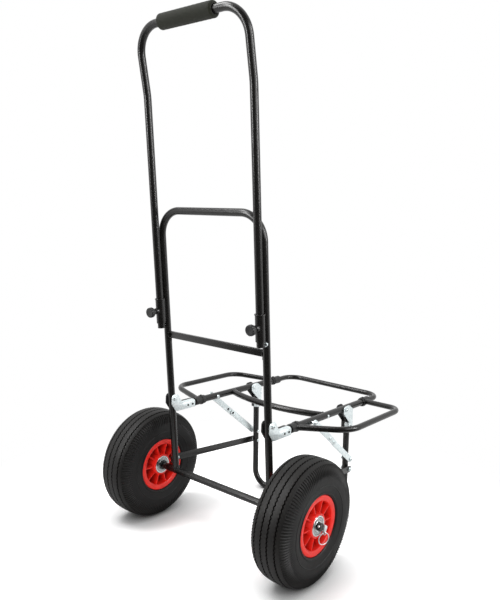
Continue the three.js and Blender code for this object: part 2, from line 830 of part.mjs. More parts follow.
function bowPiece() {
  const radius = (frameHalf ** 2 + bowSag ** 2) / (2 * bowSag);
  const spread = Math.asin(frameHalf / radius);
  const path = new BentPath([at(-frameHalf, 0, 0), at(frameHalf, 0, 0)], []);
  path.stations = Array.from({ length: bowSteps + 1 }, (_, i) => {
    const angle = spread * ((2 * i) / bowSteps - 1);
    const rise = radius * (1 - Math.cos(angle));
    return {
      point: at(radius * Math.sin(angle), bowPlace - bowSag + rise, -railDrop),
      tangent: at(Math.cos(angle), Math.sin(angle), 0),
    };
  });
  const tube = sweep(path, bowRadius, bowWall);
  const cuts = [-1, 1].map((sign) =>
    rod(
      at(sign * frameHalf, bowPlace - 4 * bowRadius, -railDrop),
      at(sign * frameHalf, bowPlace + 4 * bowRadius, -railDrop),
      railRadius + clearance,
    ),
  );
  piece(platform, "bow_member", cut(tube, ...cuts), blackTube);
}

function loopPiece() {
  const corners = [
    at(frameHalf, loopTail, -railDrop),
    at(frameHalf, loopReach, -railDrop),
    at(-frameHalf, loopReach, -railDrop),
    at(-frameHalf, loopTail, -railDrop),
  ];
  const tube = bentTube(corners, [loopBend, loopBend], loopTubeRadius, loopWall);
  piece(platform, "front_loop", tube, blackTube);
}

function wingPiece(half, side) {
  const halfSpan = wingSleeveSpan / 2;
  const corners = [
    at(0, -halfSpan, 0),
    at(wingReach, -wingBar / 2, 0),
    at(wingReach, wingBar / 2, 0),
    at(0, halfSpan, 0),
  ];
  const outer = bentTube(corners, [wingBend, wingBend], wingRadius);
  const core = bentTube(corners, [wingBend, wingBend], wingRadius - wingWall);
  const bore = railRadius + clearance;
  const halfSleeve = wingSleeveLength / 2;
  const sleeves = [-halfSpan, halfSpan].map((y) =>
    rod(at(0, y - halfSleeve, 0), at(0, y + halfSleeve, 0), bore + wingSleeveWall),
  );
  const bores = [-halfSpan, halfSpan].map((y) =>
    rod(at(0, y - halfSleeve - overrun, 0), at(0, y + halfSleeve + overrun, 0), bore),
  );
  const made = cut(join(outer, ...sleeves), core, ...bores);
  const raise = side === "right" ? wingRaiseRight : wingRaiseLeft;
  made.rotateY(-rad(raise));
  made.translate(frameHalf, wingMiddle, -railDrop);
  piece(half, `wing_${side}`, made, blackTube);
}

bowPiece();
loopPiece();
bothSides(platform, (half, side) => {
  railPieces(half, side);
  bracketPieces(half, side, "rear", railDrop);
  wingPiece(half, side);
});

// Front leg, with its origin at the strut's front bolt and its own up axis
const leg = group(assembly, strutFront.y, strutFront.z, rad(legLean));

function legPiece() {
  const top = hingeAlongLeg - legTopGap;
  const foot = -(strutFront.z - legRadius) / Math.cos(rad(legLean));
  const corners = [
    at(frameHalf, 0, top),
    at(frameHalf, 0, foot),
    at(-frameHalf, 0, foot),
    at(-frameHalf, 0, top),
  ];
  const tube = bentTube(corners, [legBend, legBend], legRadius, legWall);
  const holes = [-1, 1].flatMap((sign) =>
    [0, braceRise].map((z) =>
      rod(
        at(sign * frameHalf - legRadius - overrun, 0, z),
        at(sign * frameHalf + legRadius + overrun, 0, z),
        boltRadius + clearance,
      ),
    ),
  );
  piece(leg, "front_leg", cut(tube, ...holes), blackTube);
}

function legBolts(half, side) {
  const nutPlace = frameHalf - legRadius - clearance;
  const low = bolt(nutPlace, frameHalf + strutInner + strutThickness + clearance);
  piece(half, `strut_front_bolt_${side}`, low, zinc);
  const high = bolt(nutPlace, frameHalf + linkInner + linkThickness + clearance);
  piece(half, `brace_low_bolt_${side}`, high.translate(0, 0, braceRise), zinc);
}

legPiece();
const legTop = group(leg, -hingeBehindLeg, hingeAlongLeg);
bothSides(legTop, (half, side) => bracketPieces(half, side, "front", hingeBehindLeg));
bothSides(leg, legBolts);

// Lower struts and the folding braces
function strutPieces(half, side) {
  const length = Math.hypot(legHingeSpan, railDrop);
  const shape = barShape(length, strutHalfHeight, boltRadius + clearance);
  const inner = frameHalf + strutInner;
  const bar = plate(shape, inner, inner + strutThickness);
  bar.rotateX(-Math.atan2(railDrop, legHingeSpan));
  piece(half, `lower_strut_${side}`, bar, blackTube);
}

function linkGeometry(inner, openEnd, rivets) {
  const shape = barShape(linkLength, linkHalfWidth, boltRadius + clearance);
  shape.holes.splice(openEnd, 1);
  const bar = plate(shape, inner, inner + linkThickness);
  const heads = rivets.map((share) =>
    turned([
      [inner + linkThickness / 2, 0],
      [inner + linkThickness / 2, rivetRadius],
      [inner + linkThickness + rivetHeight / 2, rivetRadius],
      [inner + linkThickness + rivetHeight, rivetRadius / 2],
      [inner + linkThickness + rivetHeight, 0],
    ], boltSides).translate(0, linkLength * share, 0),
  );
  return join(bar, ...heads);
}

bothSides(group(assembly, strutRear.y, strutRear.z), strutPieces);
bothSides(group(assembly, braceA.y, braceA.z, braceAngle), (half, side) => {
  const geometry = linkGeometry(frameHalf + linkOuter, 1, [1, stopRivetShare]);
  piece(half, `upper_link_${side}`, geometry, zinc);
});
bothSides(group(assembly, braceB.y, braceB.z, braceAngle + Math.PI), (half, side) => {
  const geometry = linkGeometry(frameHalf + linkInner, 1, []);
  piece(half, `lower_link_${side}`, geometry, zinc);
});

// The origin is on the ground, midway between the wheels and midway between front and back
const trolley = new THREE.Group();
trolley.add(assembly);
const bounds = new THREE.Box3().setFromObject(assembly, true);
const middle = bounds.getCenter(new THREE.Vector3());
assembly.position.set(0, -middle.y, -bounds.min.z);

export default trolley;
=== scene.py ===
"""Folding fishing trolley: black tube frame on two pneumatic wheels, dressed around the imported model."""

import json
import math
import random
from itertools import pairwise

import bmesh
import bpy
from bpy.props import FloatProperty, FloatVectorProperty, IntProperty, PointerProperty
from mathutils import Matrix, Vector


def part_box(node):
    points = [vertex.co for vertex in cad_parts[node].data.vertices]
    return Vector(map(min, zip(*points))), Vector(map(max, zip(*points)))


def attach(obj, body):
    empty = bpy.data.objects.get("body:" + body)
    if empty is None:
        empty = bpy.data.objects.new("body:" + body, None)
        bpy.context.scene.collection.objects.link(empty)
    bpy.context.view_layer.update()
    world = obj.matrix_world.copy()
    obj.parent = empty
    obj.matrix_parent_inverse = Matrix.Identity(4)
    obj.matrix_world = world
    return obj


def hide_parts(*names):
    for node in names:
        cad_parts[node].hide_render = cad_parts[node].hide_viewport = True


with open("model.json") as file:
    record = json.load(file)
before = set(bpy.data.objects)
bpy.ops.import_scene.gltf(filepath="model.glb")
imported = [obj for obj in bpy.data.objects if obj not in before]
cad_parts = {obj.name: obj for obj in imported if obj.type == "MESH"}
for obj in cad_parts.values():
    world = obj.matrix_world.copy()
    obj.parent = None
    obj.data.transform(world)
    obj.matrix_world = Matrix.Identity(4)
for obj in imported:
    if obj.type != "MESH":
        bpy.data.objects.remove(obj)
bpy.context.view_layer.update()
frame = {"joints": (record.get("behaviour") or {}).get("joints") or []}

bl_info = {
    "name": "Fishing trolley",
    "version": (1, 0, 0),
    "blender": (4, 5, 0),
    "location": "3D View > Sidebar > Trolley",
    "description": "Builds a folding tube trolley with pneumatic wheels piece by piece",
    "category": "Add Mesh",
}

MM = 0.001
CHAMFER = 0.4 * MM
# Points nearer than this become one
MERGE = 0.001 * MM
# Rounding of a flat bar's corners as a share of its half height: just under 1, a round end
ROUND_END = 0.98
# Share of a tube's radius at which the weld of a bar that ends on it sits
WELD_SEAT = 0.86
SIDES = (("right", 1), ("left", -1))
JOINTS = {joint["name"]: joint for joint in frame["joints"]}


def pivot(name):
    return Vector(JOINTS[name]["pos_m"])


def centre(node):
    low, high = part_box(node)
    return (low + high) / 2


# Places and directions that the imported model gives
WHEEL = pivot("wheel_spin_right")
AXLE = Vector((0, WHEEL.y, WHEEL.z))
FRAME_X = centre("rail_right").x
FOLD = pivot("platform_fold")
LEG_HINGE = pivot("leg_fold")
STRUT_REAR = pivot("strut_swing_right")
STRUT_FRONT = STRUT_REAR + LEG_HINGE - FOLD
BRACE_TOP = pivot("upper_link_swing_right")
BRACE_LOW = pivot("lower_link_swing_right")
MAST_UP = Vector(JOINTS["handle_slide"]["axis"]).normalized()
MAST_FORWARD = Vector((0, MAST_UP.z, -MAST_UP.y))
ACROSS = Vector((1, 0, 0))
AHEAD = Vector((0, 1, 0))
UP = Vector((0, 0, 1))


def length(name, millimetres, description):
    return FloatProperty(name=name, description=description, default=millimetres * MM, min=0, unit="LENGTH")


def angle(name, degrees, description):
    return FloatProperty(name=name, description=description, default=math.radians(degrees), unit="ROTATION")


def number(name, value, description):
    return FloatProperty(name=name, description=description, default=value)


def linear(code):
    """Linear RGBA of an sRGB hex colour"""
    channels = [int(code[i : i + 2], 16) / 255 for i in (1, 3, 5)]
    return (*(c / 12.92 if c <= 0.04045 else ((c + 0.055) / 1.055) ** 2.4 for c in channels), 1)


def colour(name, code, description):
    return FloatVectorProperty(
        name=name, description=description, default=linear(code), size=4, subtype="COLOR", min=0, max=1
    )


class TubeSizes(bpy.types.PropertyGroup):
    """Sizes of the bent tubes"""

    facets: IntProperty(name="Facets", description="Sides of a tube's round section", default=28)
    step: angle("Bend step", 5, "Turn between two rings of a bend")
    bore_depth: length("Bore depth", 18, "How deep an open tube end is seen into")
    mast_radius: length("Mast radius", 8, "Outer radius of the mast tube")
    mast_wall: length("Mast wall", 1.2, "Wall of the mast and handle tubes")
    mast_height: length("Mast height", 613, "Axle to the top bar, along the mast")
    mast_bend: length("Mast bend", 55, "Middle line radius of the mast's bends")
    handle_gap: length("Handle gap", 2.5, "Between the mast tubes and the handle tubes")
    handle_foot: length("Handle foot", 354, "Lower tube ends, along the mast")
    handle_kink: length("Handle kink", 847, "Where the handle bends backwards")
    handle_tilt: angle("Handle tilt", 6.7, "Turn of the handle at its kink")
    handle_reach: length("Handle reach", 131, "From the kink to the top bar")
    handle_kink_bend: length("Kink bend", 140, "Middle line radius of the kink")
    rail_radius: length("Rail radius", 8, "Outer radius of the platform's rails")
    thin_wall: length("Thin wall", 1, "Wall of the platform tubes")
    rail_start: length("Rail start", 27, "Rear rail end in front of the fold hinge")
    rail_end: length("Rail end", 415.5, "Front rail end in front of the fold hinge")
    bow_radius: length("Bow radius", 7.5, "Outer radius of the bowed cross member")
    bow_place: length("Bow place", 217, "Where the bow meets the rails")
    bow_sag: length("Bow sag", 31, "How far the bow's middle lies back")
    loop_radius: length("Loop radius", 6.7, "Outer radius of the sliding front loop")
    loop_reach: length("Loop reach", 476.1, "Front bar in front of the fold hinge")
    loop_bend: length("Loop bend", 38, "Middle line radius of the loop's corners")
    loop_tail: length("Loop tail", 325, "Inner ends of the loop's legs")
    loop_play: length("Loop play", 5, "Bore of a rail beyond the loop's leg")
    leg_radius: length("Leg radius", 7.5, "Outer radius of the front leg tube")
    leg_bend: length("Leg bend", 40, "Middle line radius of the leg's corners")
    leg_lean: angle("Leg lean", 3.16, "How far the leg's top leans back")
    leg_top_gap: length("Leg top gap", 27, "Tube end below its hinge")
    wing_radius: length("Wing radius", 6.5, "Outer radius of the wing tubes")
    wing_reach: length("Wing reach", 119, "Rail to the wing's outer bar")
    wing_bar: length("Wing bar", 226, "Length of the wing's outer bar")
    wing_span: length("Wing span", 305, "Between the middles of a wing's sleeves")
    wing_middle: length("Wing middle", 244, "Wing's middle in front of the fold hinge")
    wing_bend: length("Wing bend", 46, "Middle line radius of the wing's corners")
    wing_raise_right: angle("Right wing raise", 6.1, "Rest angle of the right wing")
    wing_raise_left: angle("Left wing raise", 2, "Rest angle of the left wing")
    weld_height: length("Weld height", 1.6, "Thickness of a weld bead")


class WheelSizes(bpy.types.PropertyGroup):
    """Sizes of tyres, rims, bearings, axle and linch pins"""

    tyre_radius: length("Tyre radius", 130, "Outer radius of the tyre")
    tyre_half: length("Tyre half width", 42.5, "Half of the tyre's width")
    tyre_wide: length("Widest place", 98, "Radius at which the tyre is widest")
    tyre_wall: length("Tyre wall", 5.5, "Thickness of the sidewall")
    tread_half: length("Tread half width", 30, "Half of the tread's width")
    tread_start: length("Tread start", 118, "Radius at which the tread starts")
    outer_groove: length("Outer groove", 24, "Outer grooves from the tyre's middle")
    inner_groove: length("Inner groove", 7.5, "Inner grooves from the tyre's middle")
    groove_depth: length("Groove depth", 4.4, "Depth of the tread grooves")
    groove_width: length("Groove width", 3.4, "Width of the tread grooves")
    groove_wave: length("Groove wave", 1.1, "How far a groove zigzags to each side")
    serration: length("Serration", 1.8, "Depth of the notches on the shoulder")
    serration_start: length("Serration start", 33.5, "Where the notches start, from the middle")
    serration_end: length("Serration end", 96, "Radius at which the notches end")
    serration_fade: length("Serration fade", 10, "Over what radius the notches run out")
    steps: IntProperty(name="Steps", description="Steps round the tyre", default=384)
    rim_radius: length("Rim radius", 62, "Outer radius of the rim flange")
    rim_half: length("Rim half width", 37.6, "Half of the rim's width")
    rim_flange: length("Rim flange", 4.6, "Thickness of the rim flange")
    seat_drop: length("Seat drop", 4, "Tyre seat below the flange")
    barrel: length("Barrel", 50, "Inner radius of the rim's barrel")
    barrel_draft: length("Barrel draft", 3, "How much the barrel narrows inwards")
    web: length("Web", 4, "Half thickness of the disc between hub and barrel")
    ribs: IntProperty(name="Ribs", description="Ribs between hub and barrel", default=10)
    rib_width: length("Rib width", 2.4, "Thickness of a rib")
    rib_depth: length("Rib depth", 3.6, "How far the ribs stay behind the rim's face")
    hub: length("Hub", 25, "Outer radius of the hub")
    hub_half: length("Hub half length", 37.5, "Half of the hub's length")
    bearing: length("Bearing", 21, "Outer radius of the bearings")
    bearing_width: length("Bearing width", 12, "Width of a bearing")
    bearing_lip: length("Bearing lip", 3.4, "Width of each bearing ring's face")
    axle: length("Axle", 8, "Radius of the axle")
    axle_end: length("Axle end", 3.5, "Axle beyond the linch pin")
    valve_angle: angle("Valve angle", 29, "Valve stem above straight ahead")
    valve_radius: length("Valve radius", 4, "Radius of the valve stem")
    valve_root: length("Valve root", 6, "Valve stem's root above the rim's flange")
    valve_length: length("Valve length", 19, "Valve stem inside the barrel")
    valve_set: length("Valve place", 18, "Valve stem out from the wheel's middle")
    linch_tilt: angle("Linch pin tilt", -28, "Direction of the linch pin's head")
    linch_radius: length("Linch pin", 2.5, "Radius of the linch pin")
    linch_tail: length("Linch tail", 10.5, "Linch pin behind the axle's middle")
    linch_head: length("Linch head", 12, "Length of the linch pin's head")
    linch_head_start: length("Head start", 9, "Linch head from the axle's middle")
    linch_head_width: length("Head width", 10, "Width of the linch pin's head")
    linch_head_tall: length("Head height", 14, "Height of the linch pin's head")
    linch_head_rounding: length("Head rounding", 4, "Rounding of the linch pin's head")
    eye_drop: length("Eye drop", 17.5, "Pull ring eye below the axle")
    ring_radius: length("Ring radius", 12.2, "Middle radius of the pull ring")
    ring_wire: length("Ring wire", 1, "Wire radius of the pull ring")
    ring_turn: angle("Ring turn", 21, "How far the pull ring is turned to the rear")


class FittingSizes(bpy.types.PropertyGroup):
    """Sizes of clamps, brackets, struts and bolts"""

    clearance: length("Clearance", 0.3, "Between pieces that touch or turn")
    sheet: length("Sheet", 2, "Thickness of the pressed plates")
    ear: length("Ear", 9.5, "Radius of a bracket round its hinge")
    web_start: length("Web start", 25.5, "From the hinge to the rear bracket's web")
    front_web_start: length("Front web start", 36, "From the hinge to the front bracket's web")
    shoulder_gap: length("Shoulder gap", 2.4, "From the web's start to the cheek's shoulder")
    crown: length("Crown", 9.4, "Top of a bracket's web above the tube's middle")
    tongue: length("Tongue", 66, "From the hinge to the bracket's end")
    tongue_below: length("Tongue below", 8, "Plate below the tube's middle")
    heel: length("Heel", 14, "Depth of the bracket's heel")
    front_heel_round: length("Front heel rounding", 12.5, "Rounding of the front bracket's heel")
    front_tongue: length("Front tongue", 60, "From the leg's hinge to its bracket's end")
    heel_round: length("Heel rounding", 3, "Rounding of the rear bracket's heel")
    end_wall: length("End wall", 1.2, "Wall that closes a bracket before the tube")
    web_round: length("Web rounding", 6, "Rounding of the bracket's web over the tube")
    liner: length("Liner", 1.4, "Thickness of the plastic liner")
    clamp_height: length("Clamp height", 365, "Lower edge, along the mast")
    clamp_length: length("Clamp length", 56, "Length of a handle clamp")
    clamp_wall: length("Clamp wall", 1.6, "Thickness of a handle clamp")
    clamp_neck: length("Clamp neck", 8, "Width of the bridge between clamp and mast")
    clamp_lip: length("Clamp lip", 1.2, "How far the clamp's top lip stands proud")
    knob_rise: length("Knob rise", 29, "Knob above the clamp's lower edge")
    knob_radius: length("Knob radius", 11.3, "Outer radius of a knob")
    knob_thickness: length("Knob thickness", 10, "Thickness of a knob")
    knob_neck: length("Knob neck", 8, "From the boss to the knob")
    knob_stud: length("Knob stud", 3, "Radius of the knob's stud")
    flutes: IntProperty(name="Flutes", description="Flutes round a knob", default=18)
    flute_depth: length("Flute depth", 0.55, "Depth of a knob's flutes")
    boss_length: length("Boss length", 5.5, "Length of the clamp's boss")
    boss_radius: length("Boss radius", 7, "Radius of the clamp's boss")
    stop_height: length("Stop height", 357, "Stop bolt, along the mast")
    stop_turn: angle("Stop turn", 28, "Stop bolt outwards from straight back")
    crossbar_height: length("Crossbar height", 336, "Along the mast")
    crossbar_tall: length("Crossbar tall", 15, "Height of the flat bar")
    crossbar_deep: length("Crossbar deep", 6, "Depth of the flat bar")
    strut_half: length("Strut half height", 8, "Half height of the lower struts")
    strut_thick: length("Strut thickness", 3, "Thickness of the lower struts")
    strut_inner: length("Strut place", 10.7, "Strut's inner face from the frame tubes' middle")
    tab_inner: length("Tab place", 8.3, "Tab's inner face from the mast tube's middle")
    tab_back: length("Tab back", 5, "Tab behind the mast's middle")
    link_half: length("Link half width", 7.5, "Half width of the brace links")
    link_thick: length("Link thickness", 2, "Thickness of the brace links")
    link_inner: length("Lower link place", 12.5, "Inner face from the frame tubes' middle")
    link_outer: length("Upper link place", 15, "Inner face from the frame tubes' middle")
    bolt_radius: length("Bolt", 2.9, "Radius of a hinge bolt's shank")
    bolt_head: length("Bolt head", 5.5, "Radius of a bolt head")
    bolt_rise: length("Bolt rise", 3.6, "Height of a bolt head")
    washer: length("Washer", 0.8, "Thickness of the washer under a bolt head")
    nut_rise: length("Nut rise", 2.5, "Height of a nut")
    nut: length("Nut", 5, "Radius over a nut's corners")
    rivet: length("Rivet", 4.5, "Radius of the brace rivets")
    rivet_rise: length("Rivet rise", 1.8, "Height of the brace rivets")
    flush_rise: length("Flush rise", 0.3, "Height of a rivet that the other link passes")
    screw: length("Screw", 2.6, "Radius of the small screw heads")
    screw_rise: length("Screw rise", 1.3, "Height of the small screw heads")
    sleeve_length: length("Sleeve length", 34, "Length of a wing sleeve")
    sleeve_wall: length("Sleeve wall", 1.9, "Wall of a wing sleeve")
    collar_width: length("Collar width", 4.5, "Width of the ring on a sleeve")
    collar_rise: length("Collar rise", 1.2, "How far that ring stands proud")
    grip_length: length("Grip length", 142, "Length of the foam grip")
    grip_radius: length("Grip radius", 15.35, "Outer radius of the foam grip")
    grip_rounding: length("Grip rounding", 4, "Rounding of the grip's ends")
    grip_ripple: length("Grip ripple", 0.24, "Depth of the faint ripples round the grip")
    edge: length("Edge", 0.35, "Rounding of plate edges")


class TrolleyColours(bpy.types.PropertyGroup):
    """Colours of the finishes"""

    powder: colour("Powder coat", "#131211", "Gloss black powder coat")
    zinc: colour("Zinc", "#f3f9f9", "Bright zinc plating")
    zinc_shade: colour("Zinc shade", "#dbe5e7", "Darker crystals in the zinc")
    steel: colour("Bearing steel", "#e6e8e8", "Ground bearing rings")
    seal: colour("Bearing seal", "#c6cbcb", "Pressed bearing shield")
    red: colour("Rim red", "#ee2418", "Moulded red plastic")
    tyre: colour("Tyre", "#0b0a0a", "Moulded tyre rubber")
    dust: colour("Tyre bloom", "#1b1815", "Pale bloom on the tread")
    tube: colour("Inner tube", "#141414", "Inner tube rubber")
    foam: colour("Foam", "#1c1e12", "Closed-cell foam")
    foam_cell: colour("Foam cell", "#101108", "Open cells on the foam's skin")
    plastic: colour("Black plastic", "#151515", "Moulded black plastic")
    floor: colour("Floor", "#f2f2f2", "Plain pale floor")


class StageSizes(bpy.types.PropertyGroup):
    """Camera and light"""

    camera_place: FloatVectorProperty(
        name="Camera place",
        description="Where the camera stands",
        default=(0.88618, -1.15468, 0.71008),
        subtype="TRANSLATION",
        unit="LENGTH",
    )
    azimuth: angle("Azimuth", 38.79, "Turn of the view about the vertical")
    elevation: angle("Elevation", 7.73, "Angle of the view below the horizon")
    roll: angle("Roll", 2.61, "Turn of the camera about its own axis")
    lens: number("Lens", 37.42, "Focal length on a 36 mm frame")
    shift_x: number("Shift X", -0.00995, "Sideways shift of the frame")
    shift_y: number("Shift Y", 0.02163, "Upward shift of the frame")
    floor_size: length("Floor size", 16000, "Side of the floor")
    floor_fade_start: length("Floor fade start", 380, "Where the floor starts to fade to white")
    floor_fade_end: length("Floor fade end", 800, "Where the floor is plain white")
    floor_lift: number("Floor lift", 1.7, "Paleness of the floor to the eye, so only deep shadow shows")
    contact: length("Contact shade", 88, "How far from a wheel the floor is shaded by contact")
    key_power: number("Key light", 45, "Power of the large soft light")
    fill_power: number("Fill light", 20, "Power of the fill light")
    front_power: number("Front light", 28, "Power of the light by the camera")
    sky: number("Sky", 0.7, "Strength of the light from all round")
    strip_power: number("Strip light", 36, "Power of each strip, seen in gloss alone")
    strip_turn: angle("Strip turn", 64, "Strips to each side of the camera")
    strip_away: length("Strip distance", 2200, "Strips from the trolley's middle")
    strip_height: length("Strip height", 1600, "Strips' middle above the floor")
    strip_wide: length("Strip width", 340, "Width of a strip")
    strip_tall: length("Strip tall", 1800, "Height of a strip")


def sizes():
    scene = bpy.context.scene
    return scene.trolley_tubes, scene.trolley_wheels, scene.trolley_fittings


def mast_point(x, forward, height):
    return Vector((x, AXLE.y, AXLE.z)) + forward * MAST_FORWARD + height * MAST_UP


def across_frame(corners):
    """The corners of a right-hand run, then their mirror images on the way back"""
    return corners + [Vector((-corner.x, corner.y, corner.z)) for corner in reversed(corners)]


def handle_setback():
    tubes = bpy.context.scene.trolley_tubes
    return 2 * tubes.mast_radius + tubes.handle_gap


def facing(place, along, side=None):
    """A matrix at a place whose Z axis points along a direction and, if given, whose X axis follows side"""
    z = Vector(along).normalized()
    if side is None:
        turn = z.to_track_quat("Z", "Y").to_matrix()
    else:
        x = (Vector(side) - z * z.dot(Vector(side))).normalized()
        turn = Matrix((x, z.cross(x), z)).transposed()
    return Matrix.Translation(place) @ turn.to_4x4()


# Profiles of a button head and of the black disc in its recess that paints the socket's shade, as (place
# along, radius)
BUTTON = [(along * MM, radius * MM) for along, radius in (
    (-0.6, 0), (-0.6, 4.8), (1, 4.8), (1.6, 4.4), (2, 3.6), (2, 1.5), (0.8, 1.4), (0.8, 0),
)]
SOCKET_SHADE = [(along * MM, radius * MM) for along, radius in ((0.5, 0), (0.5, 1.35), (1.5, 1.35), (1.2, 0))]


def flipped(profile):
    """A profile's mirror image, in the order that joins it to the profile"""
    return [(-along, radius) for along, radius in reversed(profile)]


def oval(wide, tall, radius, points):
    """A round or oval section whose middle lies at a radius"""
    turns = [2 * math.pi * i / points for i in range(points)]
    return [(wide * math.cos(t), radius + tall * math.sin(t)) for t in turns]


# Shapes
def extruded(bm, edges, offset):
    """Extrudes edges by an offset and returns the edges at the far end"""
    made = bmesh.ops.extrude_edge_only(bm, edges=edges)["geom"]
    points = [item for item in made if isinstance(item, bmesh.types.BMVert)]
    bmesh.ops.translate(bm, vec=offset, verts=points)
    fresh = set(points)
    return [e for e in made if isinstance(e, bmesh.types.BMEdge) and fresh.issuperset(e.verts)]


def close_end(bm, edges, place, inwards, radius, wall, depth):
    """Closes a tube's end flat, or turns it inwards to a bore of some depth"""
    steps = (((radius - wall) / radius, Vector()), (1, inwards * depth)) if depth else ()
    for scale, offset in steps:
        edges = extruded(bm, edges, offset)
        points = list({v for e in edges for v in e.verts})
        bmesh.ops.scale(bm, vec=(scale,) * 3, space=Matrix.Translation(-Vector(place)), verts=points)
    bmesh.ops.edgeloop_fill(bm, edges=edges)


def bent_tube(corners, bends, radius, wall, depths=None):
    """A round tube along straight runs, with a round bend at each inner corner and a bore at each end"""
    tubes = bpy.context.scene.trolley_tubes
    first, last = depths or (tubes.bore_depth, tubes.bore_depth)
    ways = [(b - a).normalized() for a, b in pairwise(corners)]
    here = corners[0]
    bm = bmesh.new()
    space = facing(here, ways[0])
    ring = bmesh.ops.create_circle(bm, segments=tubes.facets, radius=radius, matrix=space)["verts"]
    edges = list({e for v in ring for e in v.link_edges})
    close_end(bm, edges, here, ways[0], radius, wall, first)
    for corner, bend, (before, after) in zip(corners[1:], bends, pairwise(ways)):
        turn = before.angle(after)
        reach = bend * math.tan(turn / 2)
        edges = extruded(bm, edges, corner - before * reach - here)
        side = (after - before * math.cos(turn)).normalized()
        spun = bmesh.ops.spin(
            bm,
            geom=edges,
            cent=corner - before * reach + side * bend,
            axis=before.cross(after).normalized(),
            angle=turn,
            steps=max(2, round(turn / tubes.step)),
        )["geom_last"]
        edges = [item for item in spun if isinstance(item, bmesh.types.BMEdge)]
        here = corner + after * reach
    edges = extruded(bm, edges, corners[-1] - here)
    close_end(bm, edges, corners[-1], -ways[-1], radius, wall, last)
    return bm


def turned(profile, place, along, steps=48, closed=False, bm=None):
    """A profile of (place along, radius) points turned round an axis"""
    bm = bm or bmesh.new()
    space = facing(place, along)
    points = [bm.verts.new(space @ Vector((radius, 0, reach))) for reach, radius in profile]
    runs = list(pairwise(points)) + ([(points[-1], points[0])] if closed else [])
    geom = points + [bm.edges.new(run) for run in runs]
    axis = Vector(along).normalized()
    bmesh.ops.spin(bm, geom=geom, cent=place, axis=axis, angle=2 * math.pi, steps=steps, use_merge=True)
    return bm


def bevel(bm, geom, offset, segments, affect):
    """Rounds edges or corners by an offset"""
    bmesh.ops.bevel(
        bm,
        geom=geom,
        offset=offset,
        offset_type="OFFSET",
        segments=segments,
        profile=0.5,
        affect=affect,
        material=-1,
        clamp_overlap=True,
    )


def soften(bm, width, sharper_than=30):
    """Bevels every edge that is sharper than an angle"""
    limit = math.radians(sharper_than)
    sharp = [e for e in bm.edges if len(e.link_faces) == 2 and e.calc_face_angle(0) > limit]
    bevel(bm, sharp, width, 2, "EDGES")


def thickened(bm, depth, space, edge):
    """Gives a flat outline its thickness along the Z axis of a space, with softened edges"""
    lifted = bmesh.ops.extrude_face_region(bm, geom=bm.faces[:])["geom"]
    top = [item for item in lifted if isinstance(item, bmesh.types.BMVert)]
    bmesh.ops.translate(bm, vec=(0, 0, depth), verts=top)
    bmesh.ops.recalc_face_normals(bm, faces=bm.faces)
    soften(bm, edge)
    bmesh.ops.transform(bm, matrix=space, verts=bm.verts)
    return bm


def prism(points, depth, space, edge, segments):
    """A flat outline of (a, b, rounding) corners, given its thickness"""
    bm = bmesh.new()
    corners = [bm.verts.new((a, b, 0)) for a, b, _ in points]
    bm.faces.new(corners)
    for corner, (_, _, radius) in zip(corners, points):
        if radius > 0:
            ways = [e.other_vert(corner).co - corner.co for e in corner.link_edges]
            bevel(bm, [corner], radius / math.tan(ways[0].angle(ways[1]) / 2), segments, "VERTICES")
    return thickened(bm, depth, space, edge)


def hex_head(place, along, radius, rise, edge):
    """A six-sided head or nut"""
    bm = bmesh.new()
    bmesh.ops.create_circle(bm, cap_ends=True, segments=6, radius=radius)
    return thickened(bm, rise, facing(place, along), edge)


def block(size, space, edge):
    """A box with softened edges"""
    bm = bmesh.new()
    bmesh.ops.create_cube(bm, size=1)
    bmesh.ops.scale(bm, vec=size, verts=bm.verts)
    soften(bm, edge)
    bmesh.ops.transform(bm, matrix=space, verts=bm.verts)
    return bm


def into(target, source):
    """Adds one bmesh to another"""
    holder = bpy.data.meshes.new("holder")
    source.to_mesh(holder)
    source.free()
    target.from_mesh(holder)
    bpy.data.meshes.remove(holder)


def dome_head(place, along, radius, rise, steps=20, bm=None):
    """A low round head with a shallow recess, sunk a little into what it sits on"""
    recess = 0.42 * radius
    profile = [
        (-0.4 * rise, 0), (-0.4 * rise, radius), (0.25 * rise, radius), (0.75 * rise, 0.86 * radius),
        (rise, 0.6 * radius), (rise, recess), (0.45 * rise, 0.9 * recess), (0.45 * rise, 0),
    ]
    return turned(profile, place, along, steps, bm=bm)


def weld(bm, place, along, radius, height, seed):
    """A slightly uneven bead round a joint"""
    rolls = random.Random(seed)
    start = len(bm.verts)
    turned(oval(height, height, radius, 8), place, along, 40, closed=True, bm=bm)
    bm.verts.ensure_lookup_table()
    for vert in bm.verts[start:]:
        vert.co += Vector(rolls.uniform(-1, 1) for _ in range(3)) * height * 0.1


def piece(name, bm, finish, body, nodes=(), flip=False, crease=35):
    """Makes an object of a bmesh, ties it to its body and its finish, and hides the nodes it stands for"""
    if flip:
        bmesh.ops.scale(bm, vec=(-1, 1, 1), verts=bm.verts)
    bmesh.ops.remove_doubles(bm, verts=bm.verts, dist=MERGE)
    bmesh.ops.recalc_face_normals(bm, faces=bm.faces)
    mesh = bpy.data.meshes.new(name)
    bm.to_mesh(mesh)
    bm.free()
    mesh.materials.append(material(finish))
    mesh.shade_smooth()
    mesh.set_sharp_from_angle(angle=math.radians(crease))
    made = bpy.data.objects.new(name, mesh)
    bpy.context.scene.collection.objects.link(made)
    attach(made, body)
    if nodes:
        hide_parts(*nodes)
    return made


def pair(name, bm, finish, body, node=None, crease=35):
    """Makes a right-hand piece and its mirror image; {} in a name stands for the side"""
    for (side, sign), made in zip(SIDES, (bm, bm.copy())):
        nodes = [node.format(side)] if node else ()
        piece(name.format(side), made, finish, body.format(side), nodes, sign < 0, crease)


